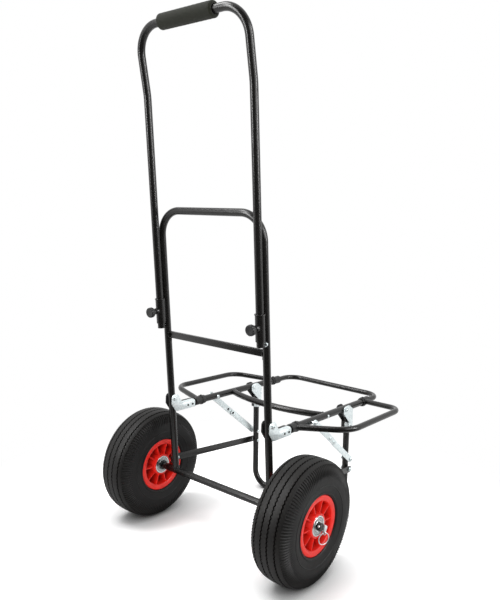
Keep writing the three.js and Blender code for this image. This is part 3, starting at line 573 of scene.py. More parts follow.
# Finishes
def add(tree, kind, links=None, **settings):
    """Adds a node with its settings, values and links"""
    made = tree.nodes.new("ShaderNode" + kind)
    for key, value in settings.items():
        setattr(made, key, value)
    for key, value in (links or {}).items():
        if isinstance(value, bpy.types.NodeSocket):
            tree.links.new(value, made.inputs[key])
        else:
            made.inputs[key].default_value = value
    return made


def per_metre(millimetres):
    """Texture scale whose pattern repeats after a real length"""
    return 1 / (millimetres * MM)


def shade(colour, share=1):
    """A colour made darker or paler, with alpha 1"""
    return (*(c * share for c in colour[:3]), 1)


def mottle(tree, vector, millimetres, dark, light, detail=2):
    """A colour that wanders between two over patches of a real size"""
    noise = add(tree, "TexNoise", {"Vector": vector, "Scale": per_metre(millimetres), "Detail": detail})
    share = add(tree, "MapRange", {"Value": noise.outputs["Fac"], "From Min": 0.35, "From Max": 0.65})
    return add(tree, "Mix", {0: share.outputs["Result"], 6: dark, 7: light}, data_type="RGBA").outputs[2]


def spread(tree, vector, millimetres, low, high):
    """A number that wanders between two over patches of a real size"""
    noise = add(tree, "TexNoise", {"Vector": vector, "Scale": per_metre(millimetres), "Detail": 3})
    values = {"Value": noise.outputs["Fac"], "To Min": low, "To Max": high}
    return add(tree, "MapRange", values).outputs["Result"]


def grain(tree, vector, millimetres, depth, detail=2, **more):
    """Bump of a real size and depth"""
    noise = add(tree, "TexNoise", {"Vector": vector, "Scale": per_metre(millimetres), "Detail": detail})
    return relief(tree, noise.outputs["Fac"], depth, **more)


def relief(tree, height, depth, **more):
    """Bump of a height from 0 to 1, with its depth in millimetres"""
    values = {"Height": height, "Strength": 1, "Distance": depth * MM, **more}
    return add(tree, "Bump", values).outputs["Normal"]


def wheel_radius(tree, vector):
    """Distance from the wheels' axis, in metres"""
    moved = add(tree, "VectorMath", {0: vector, 1: AXLE}, operation="SUBTRACT")
    flat = add(tree, "VectorMath", {0: moved.outputs[0], 1: (0, 1, 1)}, operation="MULTIPLY")
    return add(tree, "VectorMath", {0: flat.outputs[0]}, operation="LENGTH").outputs["Value"]


def powder_coat(tree, vector, colours):
    """Polyester powder coat on steel tube, sprayed and baked: deep black with a faint orange peel"""
    return {
        "Base Color": mottle(tree, vector, 60, shade(colours.powder, 0.85), shade(colours.powder, 1.2)),
        "Roughness": spread(tree, vector, 9, 0.22, 0.3),
        "IOR": 1.5,
        "Normal": grain(tree, vector, 3, 0.003),
    }


def zinc_plate(tree, vector, colours):
    """Bright zinc electroplate on pressed steel: pale blue-grey crystals with soft gleam"""
    return {
        "Base Color": mottle(tree, vector, 5, shade(colours.zinc_shade), shade(colours.zinc), 4),
        "Metallic": 0.95,
        "Roughness": spread(tree, vector, 3, 0.46, 0.58),
        "Normal": grain(tree, vector, 14, 0.04, Normal=grain(tree, vector, 0.5, 0.004)),
    }


def bearing_steel(tree, vector, colours):
    """Ground chrome steel: bright rings that catch light in fine turning lines, 0.5 mm apart"""
    pace = 2 * math.pi * per_metre(0.5)
    turns = add(tree, "Math", {0: wheel_radius(tree, vector), 1: pace}, operation="MULTIPLY")
    line = add(tree, "Math", {0: turns.outputs[0]}, operation="SINE")
    return {
        "Base Color": mottle(tree, vector, 8, shade(colours.steel, 0.88), shade(colours.steel)),
        "Metallic": 1,
        "Roughness": spread(tree, vector, 2, 0.14, 0.24),
        "Normal": relief(tree, line.outputs[0], 0.004),
    }


def pressed_seal(tree, vector, colours):
    """Pressed steel shield of a bearing: a dull grey ring between the bright ones"""
    return {
        "Base Color": mottle(tree, vector, 3, shade(colours.seal, 0.7), shade(colours.seal)),
        "Metallic": 0.9,
        "Roughness": spread(tree, vector, 4, 0.28, 0.38),
        "Normal": grain(tree, vector, 0.6, 0.01),
    }


def rim_plastic(tree, vector, colours):
    """Injection moulded polypropylene: saturated red, satin gloss, faint grain, with painted shade that
    darkens the red deep in the pockets
    """
    wheels = bpy.context.scene.trolley_wheels
    side = add(tree, "Math", {0: add(tree, "SeparateXYZ", {0: vector}).outputs["X"]}, operation="ABSOLUTE")
    depth = add(tree, "Math", {0: side.outputs[0], 1: WHEEL.x}, operation="SUBTRACT")
    reach = add(tree, "Math", {0: depth.outputs[0]}, operation="ABSOLUTE").outputs[0]
    face = wheels.rim_half - 2 * MM
    # Painted shade: the red falls to 0.22 of itself at the web and rises to full at the rim's face, for the
    # shade deep in the pockets
    pale = add(tree, "MapRange", {"Value": reach, "From Min": wheels.web, "From Max": face, "To Min": 0.22})
    skin = mottle(tree, vector, 30, shade(colours.red, 0.92), shade(colours.red, 1.06))
    red_with_painted_pocket_shade = add(tree, "VectorMath", {0: skin, 3: pale.outputs["Result"]}, operation="SCALE")
    return {
        "Base Color": red_with_painted_pocket_shade.outputs[0],
        "Roughness": spread(tree, vector, 6, 0.32, 0.45),
        "IOR": 1.49,
        "Subsurface Weight": 0.04,
        "Subsurface Radius": (2 * MM, 0.5 * MM, 0.5 * MM),
        "Normal": grain(tree, vector, 0.8, 0.015),
    }


def tyre_rubber(tree, vector, colours):
    """Moulded carbon-black rubber: dull, with a pale bloom that shows on the tread and the shoulder"""
    radius = wheel_radius(tree, vector)
    crown = {"Value": radius, "From Min": 100 * MM, "From Max": 129 * MM, "To Max": 0.75}
    tread = add(tree, "MapRange", crown).outputs["Result"]
    patches = add(tree, "TexNoise", {"Vector": vector, "Scale": per_metre(22), "Detail": 4})
    share = add(tree, "Math", {0: tread, 1: patches.outputs["Fac"]}, operation="MULTIPLY").outputs[0]
    bloom = {0: share, 6: shade(colours.tyre), 7: shade(colours.dust)}
    return {
        "Base Color": add(tree, "Mix", bloom, data_type="RGBA").outputs[2],
        "Roughness": spread(tree, vector, 12, 0.45, 0.6),
        "IOR": 1.52,
        "Specular IOR Level": 0.3,
        "Normal": grain(tree, vector, 0.7, 0.06, 4),
    }


def tube_rubber(tree, vector, colours):
    """Butyl rubber of the inner tube and valve stem: smooth, black and slightly waxy"""
    return {
        "Base Color": mottle(tree, vector, 15, shade(colours.tube, 0.8), shade(colours.tube, 1.3)),
        "Roughness": spread(tree, vector, 5, 0.42, 0.55),
        "IOR": 1.52,
        "Normal": grain(tree, vector, 1, 0.02),
    }


def foam_rubber(tree, vector, colours):
    """Closed-cell foam sleeve: matt olive black, with small cells that break the skin"""
    cells = add(tree, "TexVoronoi", {"Vector": vector, "Scale": per_metre(0.9)}).outputs["Distance"]
    skin = add(tree, "MapRange", {"Value": cells, "From Min": 0.05, "From Max": 0.45}).outputs["Result"]
    tones = {0: skin, 6: shade(colours.foam_cell), 7: shade(colours.foam)}
    return {
        "Base Color": add(tree, "Mix", tones, data_type="RGBA").outputs[2],
        "Roughness": 0.95,
        "IOR": 1.45,
        "Sheen Weight": 0.08,
        "Sheen Roughness": 0.6,
        "Normal": grain(tree, vector, 9, 0.25, Normal=relief(tree, skin, 0.12)),
    }


def black_plastic(tree, vector, colours):
    """Moulded nylon: black with a fine spark-eroded grain and a soft gleam"""
    return {
        "Base Color": mottle(tree, vector, 10, shade(colours.plastic, 0.85), shade(colours.plastic, 1.25)),
        "Roughness": spread(tree, vector, 3, 0.4, 0.52),
        "IOR": 1.53,
        "Normal": grain(tree, vector, 0.45, 0.03),
    }


POWDER, ZINC, NYLON = "gloss_powder_coat", "bright_zinc_plate", "moulded_black_nylon"
# Each finish's maker and the record's slot that it stands for
FINISHES = {
    POWDER: (powder_coat, "black_powder_coat"),
    ZINC: (zinc_plate, "zinc_plate"),
    "ground_bearing_steel": (bearing_steel, "bearing_steel"),
    "pressed_bearing_seal": (pressed_seal, "bearing_steel"),
    "moulded_red_polypropylene": (rim_plastic, "red_rim"),
    "moulded_tyre_rubber": (tyre_rubber, "tyre"),
    "butyl_tube_rubber": (tube_rubber, "tube_rubber"),
    "closed_cell_foam": (foam_rubber, "foam_grip"),
    NYLON: (black_plastic, "black_plastic"),
}


def material(name):
    """The finish of that name, made on first use"""
    found = bpy.data.materials.get(name)
    if found:
        return found
    made = bpy.data.materials.new(name)
    made.use_nodes = True
    tree = made.node_tree
    tree.nodes.clear()
    place = add(tree, "TexCoord").outputs["Object"]
    looks = FINISHES[name][0](tree, place, bpy.context.scene.trolley_colours)
    shader = add(tree, "BsdfPrincipled", looks)
    add(tree, "OutputMaterial", {"Surface": shader.outputs[0]})
    return made


class TROLLEY_OT_mast(bpy.types.Operator):
    """Builds the mast frame with its crossbar, ears and welds"""

    bl_idname = "trolley.mast"
    bl_label = "Mast"

    def execute(self, context):
        tubes, wheels, fittings = sizes()
        radius, bead, top = tubes.mast_radius, tubes.weld_height, tubes.mast_height
        corners = across_frame([mast_point(FRAME_X, 0, height) for height in (0, top)])
        frame_tube = bent_tube(corners, [tubes.mast_bend] * 2, radius, tubes.mast_wall)
        piece("mast_tube", frame_tube, POWDER, "mast", ["mast_frame"])

        height, tall = fittings.crossbar_height, fittings.crossbar_tall
        size = (2 * (FRAME_X - radius * 0.8), fittings.crossbar_deep, tall)
        bar = block(size, facing(mast_point(0, 0, height), MAST_UP, ACROSS), 0.8 * MM)
        piece("flat_crossbar", bar, POWDER, "mast", ["crossbar"])

        beads, lump = bmesh.new(), (7 * MM, 5 * MM, 8 * MM)
        for _, sign in SIDES:
            weld(beads, mast_point(sign * FRAME_X, 0, wheels.axle), MAST_UP, radius, bead, 3)
            end = mast_point(sign * (FRAME_X - radius * WELD_SEAT), 0, height)
            weld(beads, end, ACROSS, tall * 0.42, bead, 5)
            low = mast_point(sign * (FRAME_X - radius * 0.9), 0, height - tall * 0.75)
            into(beads, block(lump, facing(low, MAST_UP, ACROSS), 2 * MM))
        piece("mast_welds", beads, POWDER, "mast")

        reach = STRUT_REAR - AXLE
        half, back, square = fittings.strut_half, -fittings.tab_back, 0.5 * MM
        ahead, level, soft = reach.dot(MAST_FORWARD) + half, reach.dot(MAST_UP), half * ROUND_END
        outline = [
            (back, level - half, square), (ahead, level - half, soft),
            (ahead, level + half, soft), (back, level + half, square),
        ]
        space = facing(mast_point(FRAME_X + fittings.tab_inner, 0, 0), ACROSS, MAST_FORWARD)
        ear = prism(outline, fittings.sheet, space, fittings.edge, 10)
        pair("strut_ear_{}", ear, POWDER, "mast", "strut_tab_{}")
        return {"FINISHED"}


class TROLLEY_OT_handle(bpy.types.Operator):
    """Builds the sliding handle and its foam grip"""

    bl_idname = "trolley.handle"
    bl_label = "Handle and grip"

    def execute(self, context):
        tubes, _, fittings = sizes()
        back = -handle_setback()
        top_back = back - tubes.handle_reach * math.sin(tubes.handle_tilt)
        top = tubes.handle_kink + tubes.handle_reach * math.cos(tubes.handle_tilt)
        run = [(back, tubes.handle_foot), (back, tubes.handle_kink), (top_back, top)]
        corners = across_frame([mast_point(FRAME_X, *place) for place in run])
        bends = [tubes.handle_kink_bend, tubes.mast_bend, tubes.mast_bend, tubes.handle_kink_bend]
        bar = bent_tube(corners, bends, tubes.mast_radius, tubes.mast_wall)
        piece("handle_bar", bar, POWDER, "handle", ["handle_tube"])

        half, radius, soft = fittings.grip_length / 2, fittings.grip_radius, fittings.grip_rounding
        hole = tubes.mast_radius + fittings.clearance
        turns = [math.pi * i / 12 for i in range(7)]
        end = [(half - soft + soft * math.sin(t), radius - soft + soft * math.cos(t)) for t in turns]
        end += [(half - 0.6 * MM, hole + 0.6 * MM), (half - 2 * MM, hole)]
        skin = [
            ((half - soft) * (i / 12 - 1), radius - fittings.grip_ripple * (i % 2)) for i in range(1, 24)
        ]
        place = Vector((centre("grip").x, corners[2].y, corners[2].z))
        sleeve = turned(flipped(end) + skin + end, place, ACROSS, 64, closed=True)
        grip = piece("foam_grip", sleeve, "closed_cell_foam", "handle", ["grip"], crease=60)
        return {"FINISHED"}


class TROLLEY_OT_clamps(bpy.types.Operator):
    """Builds the clamps that guide the handle, with their knobs and stop bolts"""

    bl_idname = "trolley.clamps"
    bl_label = "Clamps and knobs"

    def execute(self, context):
        tubes, _, fittings = sizes()
        back, inner, foot = handle_setback(), tubes.mast_radius + fittings.clearance, fittings.clamp_height
        arm = inner + fittings.clamp_wall
        tall, lip = fittings.clamp_length, fittings.clamp_lip
        section = [
            (0, inner), (0, arm - CHAMFER), (CHAMFER, arm), (tall - 3 * MM, arm),
            (tall - 2.4 * MM, arm + lip * 0.8), (tall - 1 * MM, arm + lip),
            (tall, arm + lip * 0.5), (tall, inner),
        ]
        clip = turned(section, mast_point(FRAME_X, -back, foot), MAST_UP, 40, closed=True)
        gap = back - arm - tubes.mast_radius
        bridge = mast_point(FRAME_X, -tubes.mast_radius - gap / 2, foot + tall / 2)
        size = (fittings.clamp_neck, gap + 2.4 * MM, tall * 0.94)
        into(clip, block(size, facing(bridge, MAST_UP, ACROSS), 0.2 * MM))
        height = foot + fittings.knob_rise
        reach, radius = fittings.boss_length + fittings.clamp_wall, fittings.boss_radius
        boss = [(0, 0), (0, radius), (reach * 0.8, radius), (reach, radius * 0.88), (reach, 0)]
        root = mast_point(FRAME_X, fittings.clamp_wall - back - arm, height)
        turned(boss, root, -MAST_FORWARD, 32, bm=clip)
        pair("handle_clip_{}", clip, POWDER, "mast", "clamp_{}")

        start = mast_point(FRAME_X, -back - arm - fittings.boss_length, height)
        nut_radius, nut_rise, sunk = 5.4 * MM, 3 * MM, 0.3 * MM
        nut = hex_head(start, -MAST_FORWARD, nut_radius, nut_rise, CHAMFER)
        pair("clamp_nut_{}", nut, POWDER, "mast")
        pair("clamp_knob_{}", self.knob(start), NYLON, "knob_{}", "knob_{}")

        turn = fittings.stop_turn
        out = (ACROSS * math.sin(turn) - MAST_FORWARD * math.cos(turn)).normalized()
        place = mast_point(FRAME_X, 0, fittings.stop_height) + out * (tubes.mast_radius - sunk)
        pair("stop_bolt_{}", turned(BUTTON, place, out, 32), ZINC, "mast")
        # Painted shade: a black powder-coat disc in the button's recess stands for the shade in its socket
        pair("stop_socket_shade_{}", turned(SOCKET_SHADE, place, out, 6), POWDER, "mast")
        return {"FINISHED"}

    def knob(self, place):
        """A moulded knob with a fluted rim on a threaded stud"""
        fittings = bpy.context.scene.trolley_fittings
        neck, thick, radius = fittings.knob_neck, fittings.knob_thickness, fittings.knob_radius
        stem = [
            (neck * 0.15, 0), (neck * 0.15, fittings.knob_stud), (neck * 0.55, fittings.knob_stud),
            (neck * 0.6, radius * 0.62), (neck * 0.95, radius * 0.7), (neck, radius * 0.88),
        ]
        rim = (
            (0.12, 0.98), (0.3, 1), (0.7, 1), (0.88, 0.98), (0.98, 0.88), (1, 0.7), (0.96, 0.55), (0.96, 0),
        )
        profile = stem + [(neck + thick * along, radius * share) for along, share in rim]
        bm = turned(profile, place, -MAST_FORWARD, 72)
        # Flutes go round the widest part alone
        for vert in bm.verts:
            offset = vert.co - place
            across = offset - MAST_FORWARD * offset.dot(MAST_FORWARD)
            if across.length >= radius * 0.93:
                turn = math.atan2(across.dot(MAST_UP), across.x)
                share = (1 + math.cos(fittings.flutes * turn)) / 2
                vert.co -= across.normalized() * fittings.flute_depth * share
        return bm


class TROLLEY_OT_axle(bpy.types.Operator):
    """Builds the axle with its collars and the linch pins with their pull rings"""

    bl_idname = "trolley.axle"
    bl_label = "Axle and linch pins"

    def execute(self, context):
        _, wheels, fittings = sizes()
        middle = AXLE + ACROSS * centre("linch_pin_right").x
        end, axle = middle.x + wheels.axle_end, wheels.axle
        collar, wide, high = WHEEL.x - wheels.hub_half - fittings.clearance, 5 * MM, axle + 3 * MM
        half = [
            (collar - wide, axle), (collar - wide + CHAMFER, high), (collar - CHAMFER, high),
            (collar, high - CHAMFER), (collar, axle), (end - 1 * MM, axle), (end, axle - 1 * MM), (end, 0),
        ]
        piece("axle_shaft", turned(flipped(half) + half, AXLE, ACROSS, 40), POWDER, "mast", ["axle"])

        eye = Vector((middle.x, centre("linch_ring_right").y, AXLE.z - wheels.eye_drop))
        pair("linch_{}", self.pin(middle, eye), ZINC, "mast", "linch_pin_{}")
        wire, radius = wheels.ring_wire, wheels.ring_radius
        axis = ACROSS * math.cos(wheels.ring_turn) - AHEAD * math.sin(wheels.ring_turn)
        ring = turned(oval(wire, wire, radius, 14), eye - UP * radius, axis, 56, closed=True)
        pair("pull_ring_{}", ring, ZINC, "linch_ring_{}", "linch_ring_{}")
        return {"FINISHED"}

    def pin(self, middle, eye):
        """A pin through the axle with a rounded square head, and a plate down to its ring's eye"""
        wheels = bpy.context.scene.trolley_wheels
        out = AHEAD * math.cos(wheels.linch_tilt) + UP * math.sin(wheels.linch_tilt)
        tail, radius, start = wheels.linch_tail, wheels.linch_radius, wheels.linch_head_start
        end = start + 1 * MM
        shank = [(-tail, 0), (-tail, 1.6 * MM), (1.4 * MM - tail, radius), (end, radius), (end, 0)]
        bm = turned(shank, middle, out, 24)
        head = middle + out * (start + wheels.linch_head / 2)
        size = (wheels.linch_head_width, wheels.linch_head_tall, wheels.linch_head)
        into(bm, block(size, facing(head, out, ACROSS), wheels.linch_head_rounding))
        space = facing(Vector((middle.x, eye.y, (eye.z + head.z) / 2)), UP, ACROSS)
        plate, eye_radius = (5.4 * MM, 3 * MM, head.z - eye.z), 3.5 * MM
        into(bm, block(plate, space, 0.8 * MM))
        return turned(oval(1.4 * MM, 1.2 * MM, eye_radius, 10), eye, AHEAD, 28, closed=True, bm=bm)


class TROLLEY_OT_tyres(bpy.types.Operator):
    """Builds the tyres with their tread, and the inner tubes with their valves"""

    bl_idname = "trolley.tyres"
    bl_label = "Tyres and tubes"

    # How square the shoulder is: 1 would be an ellipse
    squareness = 0.65

    def execute(self, context):
        pair("tyre_cover_{}", self.tyre(), "moulded_tyre_rubber", "wheel_{}", "tyre_{}", 28)
        pair("air_tube_{}", self.inner_tube(), "butyl_tube_rubber", "wheel_{}", "inner_tube_{}")
        return {"FINISHED"}

    def contour(self, turn):
        """Outer half section of the tyre, from its widest place (0) to the crown (a quarter turn)"""
        wheels = bpy.context.scene.trolley_wheels
        rise = (wheels.tyre_radius - wheels.tyre_wide) * math.sin(turn) ** self.squareness
        return wheels.tyre_half * math.cos(turn) ** self.squareness, wheels.tyre_wide + rise

    def half_profile(self, grooves):
        """Half section from the bead to the crown, with sidewall rings and tread grooves"""
        wheels = bpy.context.scene.trolley_wheels
        bead, seat = wheels.rim_half - wheels.rim_flange, wheels.rim_radius - wheels.seat_drop
        lip = wheels.rim_radius + 0.5 * MM
        points = [
            (bead - 0.3 * MM, seat + 0.3 * MM), (bead - 0.3 * MM, lip),
            (wheels.rim_half - 0.5 * MM, lip + 0.2 * MM),
        ]
        # Places up the sidewall, and the rings that stand proud there in millimetres
        rings = {0.03: 0.6, 0.08: 1.5, 0.13: 1.5, 0.16: 0.2, 0.58: 0.7}
        for share in (0.03, 0.08, 0.13, 0.16, 0.19, 0.3, 0.42, 0.55, 0.58, 0.61, 0.75, 0.9):
            along = wheels.tyre_half * (1 - 0.115 * (1 - share) ** 2.2) + rings.get(share, 0) * MM
            points.append((min(along, wheels.tyre_half), lip + (wheels.tyre_wide - lip) * share))
        points += [self.contour(math.radians(2 + 33 * i / 13)) for i in range(13)]
        # Places across the crown: the edges of the grooves, and points between them that keep its arc
        width, start = wheels.groove_width / 2, wheels.serration_start
        edges = [g + s * width for g in grooves for s in (-1, -0.55, 0.55, 1)]
        ribs = [36.5 * MM, start + 0.4 * MM, start, 31 * MM, 28 * MM, 19 * MM, 14 * MM, 4 * MM, 0]
        for along in sorted(edges + ribs, reverse=True):
            radius = self.contour(math.acos((along / wheels.tyre_half) ** (1 / self.squareness)))[1]
            sunk = any(abs(along - g) < 0.6 * width for g in grooves)
            points.append((along, radius - wheels.groove_depth * sunk))
        return points

    def tyre(self):
        """The cover, with zigzag grooves in the tread and notches round the shoulder"""
        wheels = bpy.context.scene.trolley_wheels
        grooves = (wheels.outer_groove, wheels.inner_groove)
        half, wall = self.half_profile(grooves), wheels.tyre_wall
        bead, seat = half[0]
        # Inner half section, from the crown to the bead
        lining = [
            (20 * MM, wheels.tyre_radius - 10 * MM), (32 * MM, wheels.tyre_radius - 16 * MM),
            (wheels.tyre_half - wall, wheels.tyre_wide), (bead - wall, wheels.rim_radius + 4 * MM),
            (bead - wall, seat),
        ]
        section = half + flipped(half[:-1]) + flipped(lining) + lining
        bm = turned(section, WHEEL, ACROSS, wheels.steps, closed=True)
        step = 2 * math.pi / wheels.steps
        # A groove's zigzag takes four steps, a notch three, of which one stays proud
        for vert in bm.verts:
            offset = vert.co - WHEEL
            radius, across = math.hypot(offset.y, offset.z), abs(offset.x)
            index = round(math.atan2(offset.z, offset.y) / step)
            if radius < wheels.serration_end:
                continue
            if across < wheels.tread_half and radius > wheels.tread_start:
                if min(abs(across - g) for g in grooves) < wheels.groove_width:
                    vert.co.x += wheels.groove_wave * (0, 1, 0, -1)[index % 4]
            elif across > wheels.serration_start + 0.2 * MM:
                depth = wheels.serration * (0, 1, 1)[index % 3]
                fade = min(1, (radius - wheels.serration_end) / wheels.serration_fade)
                flat = Vector((0, offset.y, offset.z)).normalized()
                vert.co -= (ACROSS * math.copysign(0.8, offset.x) + flat * 0.6) * depth * fade
        return bm

    def inner_tube(self):
        """The air tube in the cover, with its valve stem pointing to the axle"""
        wheels = bpy.context.scene.trolley_wheels
        root, radius = wheels.rim_radius + wheels.valve_root, wheels.valve_radius
        half, middle = 26 * MM, wheels.tyre_wide - 8 * MM
        tall = 0.72 * (wheels.tyre_wide - wheels.rim_radius)
        bm = turned(oval(half, tall, middle, 24), WHEEL, ACROSS, 72, closed=True)
        way = AHEAD * math.cos(wheels.valve_angle) + UP * math.sin(wheels.valve_angle)
        run = root - wheels.barrel + wheels.valve_length
        stem = (
            (0, 0), (0, 1), (0.62, 1), (0.66, 0.72), (0.76, 0.72), (0.77, 0.95),
            (0.97, 0.9), (1, 0.7), (1, 0),
        )
        profile = [(run * along, radius * share) for along, share in stem]
        return turned(profile, WHEEL + ACROSS * wheels.valve_set + way * root, -way, 24, bm=bm)


class TROLLEY_OT_rims(bpy.types.Operator):
    """Builds the moulded rims and their bearings"""

    bl_idname = "trolley.rims"
    bl_label = "Rims and bearings"

    def execute(self, context):
        pair("rim_moulding_{}", self.rim(), "moulded_red_polypropylene", "wheel_{}", "rim_{}")
        for place, face in (("outer", 1), ("inner", -1)):
            self.bearing(place, face)
        return {"FINISHED"}

    def rim(self):
        _, wheels, fittings = sizes()
        radius, face, barrel, hub = wheels.rim_radius, wheels.rim_half, wheels.barrel, wheels.hub
        bead, draft, end = face - wheels.rim_flange, wheels.barrel_draft, wheels.hub_half
        seat = wheels.bearing + fittings.clearance
        step = end - wheels.bearing_width - fittings.clearance
        half = [
            (bead, radius - wheels.seat_drop), (bead, radius), (face - 0.8 * MM, radius),
            (face, radius - 1.6 * MM), (face - 0.7 * MM, barrel + 2 * MM), (face - 2.2 * MM, barrel),
            (wheels.web, barrel - draft), (wheels.web, hub + draft), (end - 1 * MM, hub),
            (end, hub - 0.8 * MM), (end, seat), (step, seat), (step, wheels.axle + 2 * MM),
        ]
        bm = turned(half + flipped(half), WHEEL, ACROSS, 96, closed=True)
        bmesh.ops.remove_doubles(bm, verts=bm.verts, dist=MERGE)
        bmesh.ops.recalc_face_normals(bm, faces=bm.faces)
        soften(bm, 0.7 * MM, 40)
        size = (2 * (face - wheels.rib_depth), wheels.rib_width, barrel - hub + 2 * MM)
        for i in range(wheels.ribs):
            turn = 2 * math.pi * (i + 0.5) / wheels.ribs
            out = UP * math.cos(turn) - AHEAD * math.sin(turn)
            into(bm, block(size, facing(WHEEL + out * (barrel + hub) / 2, out, ACROSS), 0.6 * MM))
        return bm

    def bearing(self, place, face):
        """Two ground rings with a pressed shield between them"""
        _, wheels, fittings = sizes()
        start = WHEEL + ACROSS * face * (wheels.hub_half - wheels.bearing_width)
        wide, lip = wheels.bearing_width, wheels.bearing_lip
        inner, outer = wheels.axle + fittings.clearance, wheels.bearing
        rings = bmesh.new()
        for low, high in ((inner, inner + lip), (outer - lip, outer)):
            section = [
                (0, low), (wide - CHAMFER, low), (wide, low + CHAMFER),
                (wide, high - CHAMFER), (wide - CHAMFER, high), (0, high),
            ]
            turned(section, start, ACROSS * face, 64, closed=True, bm=rings)
        pair(place + "_race_{}", rings, "ground_bearing_steel", "wheel_{}", place + "_bearing_{}")
        # The shield's section in millimetres: (behind the face, from the ring beside it)
        shield = [(3, 0.05), (2, 0.05), (2, 0.5), (0.5, 0.6)]
        section = [(wide - along * MM, inner + lip + off * MM) for along, off in shield]
        section += [(wide - along * MM, outer - lip - off * MM) for along, off in reversed(shield)]
        seal = turned(section, start, ACROSS * face, 64, closed=True)
        pair(place + "_seal_{}", seal, "pressed_bearing_seal", "wheel_{}")


class TROLLEY_OT_platform(bpy.types.Operator):
    """Builds the rails, the bowed cross member and the sliding front loop"""

    bl_idname = "trolley.platform"
    bl_label = "Platform"

    def execute(self, context):
        tubes, _, fittings = sizes()
        level, radius = LEG_HINGE.z, tubes.rail_radius
        ends = [Vector((FRAME_X, FOLD.y + y, level)) for y in (tubes.rail_start, tubes.rail_end)]
        depths = (tubes.bore_depth, tubes.rail_end - tubes.loop_tail + tubes.loop_play)
        rail = bent_tube(ends, [], radius, tubes.thin_wall, depths)
        pair("rail_tube_{}", rail, POWDER, "platform", "rail_{}")
        y = FOLD.y + tubes.bow_place
        head = 3.6 * MM
        rivet = dome_head(Vector((FRAME_X + radius, y, level)), ACROSS, head, fittings.rivet_rise)
        pair("bow_rivet_{}", rivet, ZINC, "platform")

        sweep = (FRAME_X**2 + tubes.bow_sag**2) / (2 * tubes.bow_sag)
        turn = math.asin(FRAME_X / sweep)
        corner = (0, y - sweep * math.tan(turn) * math.sin(turn), level)
        corners = [Vector(place) for place in ((FRAME_X, y, level), corner, (-FRAME_X, y, level))]
        bow = bent_tube(corners, [sweep], tubes.bow_radius, tubes.thin_wall, (0, 0))
        for _, sign in SIDES:
            place = Vector((sign * (FRAME_X - radius * WELD_SEAT), y - 1.6 * MM, level))
            way = Vector((sign, math.tan(turn), 0))
            weld(bow, place, way, tubes.bow_radius * 0.98, tubes.weld_height * 0.7, 11)
        piece("bow_tube", bow, POWDER, "platform", ["bow_member"])

        tail, reach = FOLD.y + tubes.loop_tail, FOLD.y + tubes.loop_reach
        corners = across_frame([Vector((FRAME_X, y, level)) for y in (tail, reach)])
        loop = bent_tube(corners, [tubes.loop_bend] * 2, tubes.loop_radius, tubes.thin_wall)
        piece("loop_tube", loop, POWDER, "loop", ["front_loop"])
        return {"FINISHED"}


class TROLLEY_OT_wings(bpy.types.Operator):
    """Builds the side wings with their sleeves, collars and screws"""

    bl_idname = "trolley.wings"
    bl_label = "Wings"

    def execute(self, context):
        tubes = bpy.context.scene.trolley_tubes
        middle = Vector((FRAME_X, FOLD.y + tubes.wing_middle, LEG_HINGE.z))
        hubs = [middle + AHEAD * y for y in (-tubes.wing_span / 2, tubes.wing_span / 2)]
        bars = [AHEAD * y for y in (-tubes.wing_bar / 2, tubes.wing_bar / 2)]
        for (side, sign), raised in zip(SIDES, (tubes.wing_raise_right, tubes.wing_raise_left)):
            out = ACROSS * math.cos(raised) + UP * math.sin(raised)
            outer = [middle + out * tubes.wing_reach + bar for bar in bars]
            start, end = (a + (b - a).normalized() * tubes.rail_radius for a, b in zip(hubs, outer))
            corners, bends = [start, *outer, end], [tubes.wing_bend] * 2
            loop = bent_tube(corners, bends, tubes.wing_radius, tubes.thin_wall, (0, 0))
            piece(f"wing_loop_{side}", loop, POWDER, f"wing_{side}", [f"wing_{side}"], sign < 0)
        # The ring sits off each sleeve's middle, towards the wing's middle
        rear_shift, front_shift = 6 * MM, -9 * MM
        self.sleeve("rear", hubs[0], rear_shift)
        self.sleeve("front", hubs[1], front_shift)
        return {"FINISHED"}

    def sleeve(self, label, place, shift):
        """A moulded sleeve on the rail, with a ring round it and a screw in the ring"""
        tubes, _, fittings = sizes()
        half, soft = fittings.sleeve_length / 2, 0.8 * MM
        inner = tubes.rail_radius + fittings.clearance
        wall = inner + fittings.sleeve_wall
        width, rise = fittings.collar_width / 2, fittings.collar_rise
        low, high = shift - width, shift + width
        section = [
            (-half, inner), (-half, wall - soft), (soft - half, wall), (low, wall), (low, wall + rise * 0.7),
            (low + CHAMFER, wall + rise), (high - CHAMFER, wall + rise), (high, wall + rise * 0.7),
            (high, wall), (half - soft, wall), (half, wall - soft), (half, inner),
        ]
        pair(label + "_sleeve_{}", turned(section, place, AHEAD, 48, closed=True), NYLON, "wing_{}")
        top = place + AHEAD * shift + UP * (wall + rise)
        screw = dome_head(top, UP, fittings.screw, fittings.screw_rise)
        pair(label + "_sleeve_screw_{}", screw, NYLON, "wing_{}")


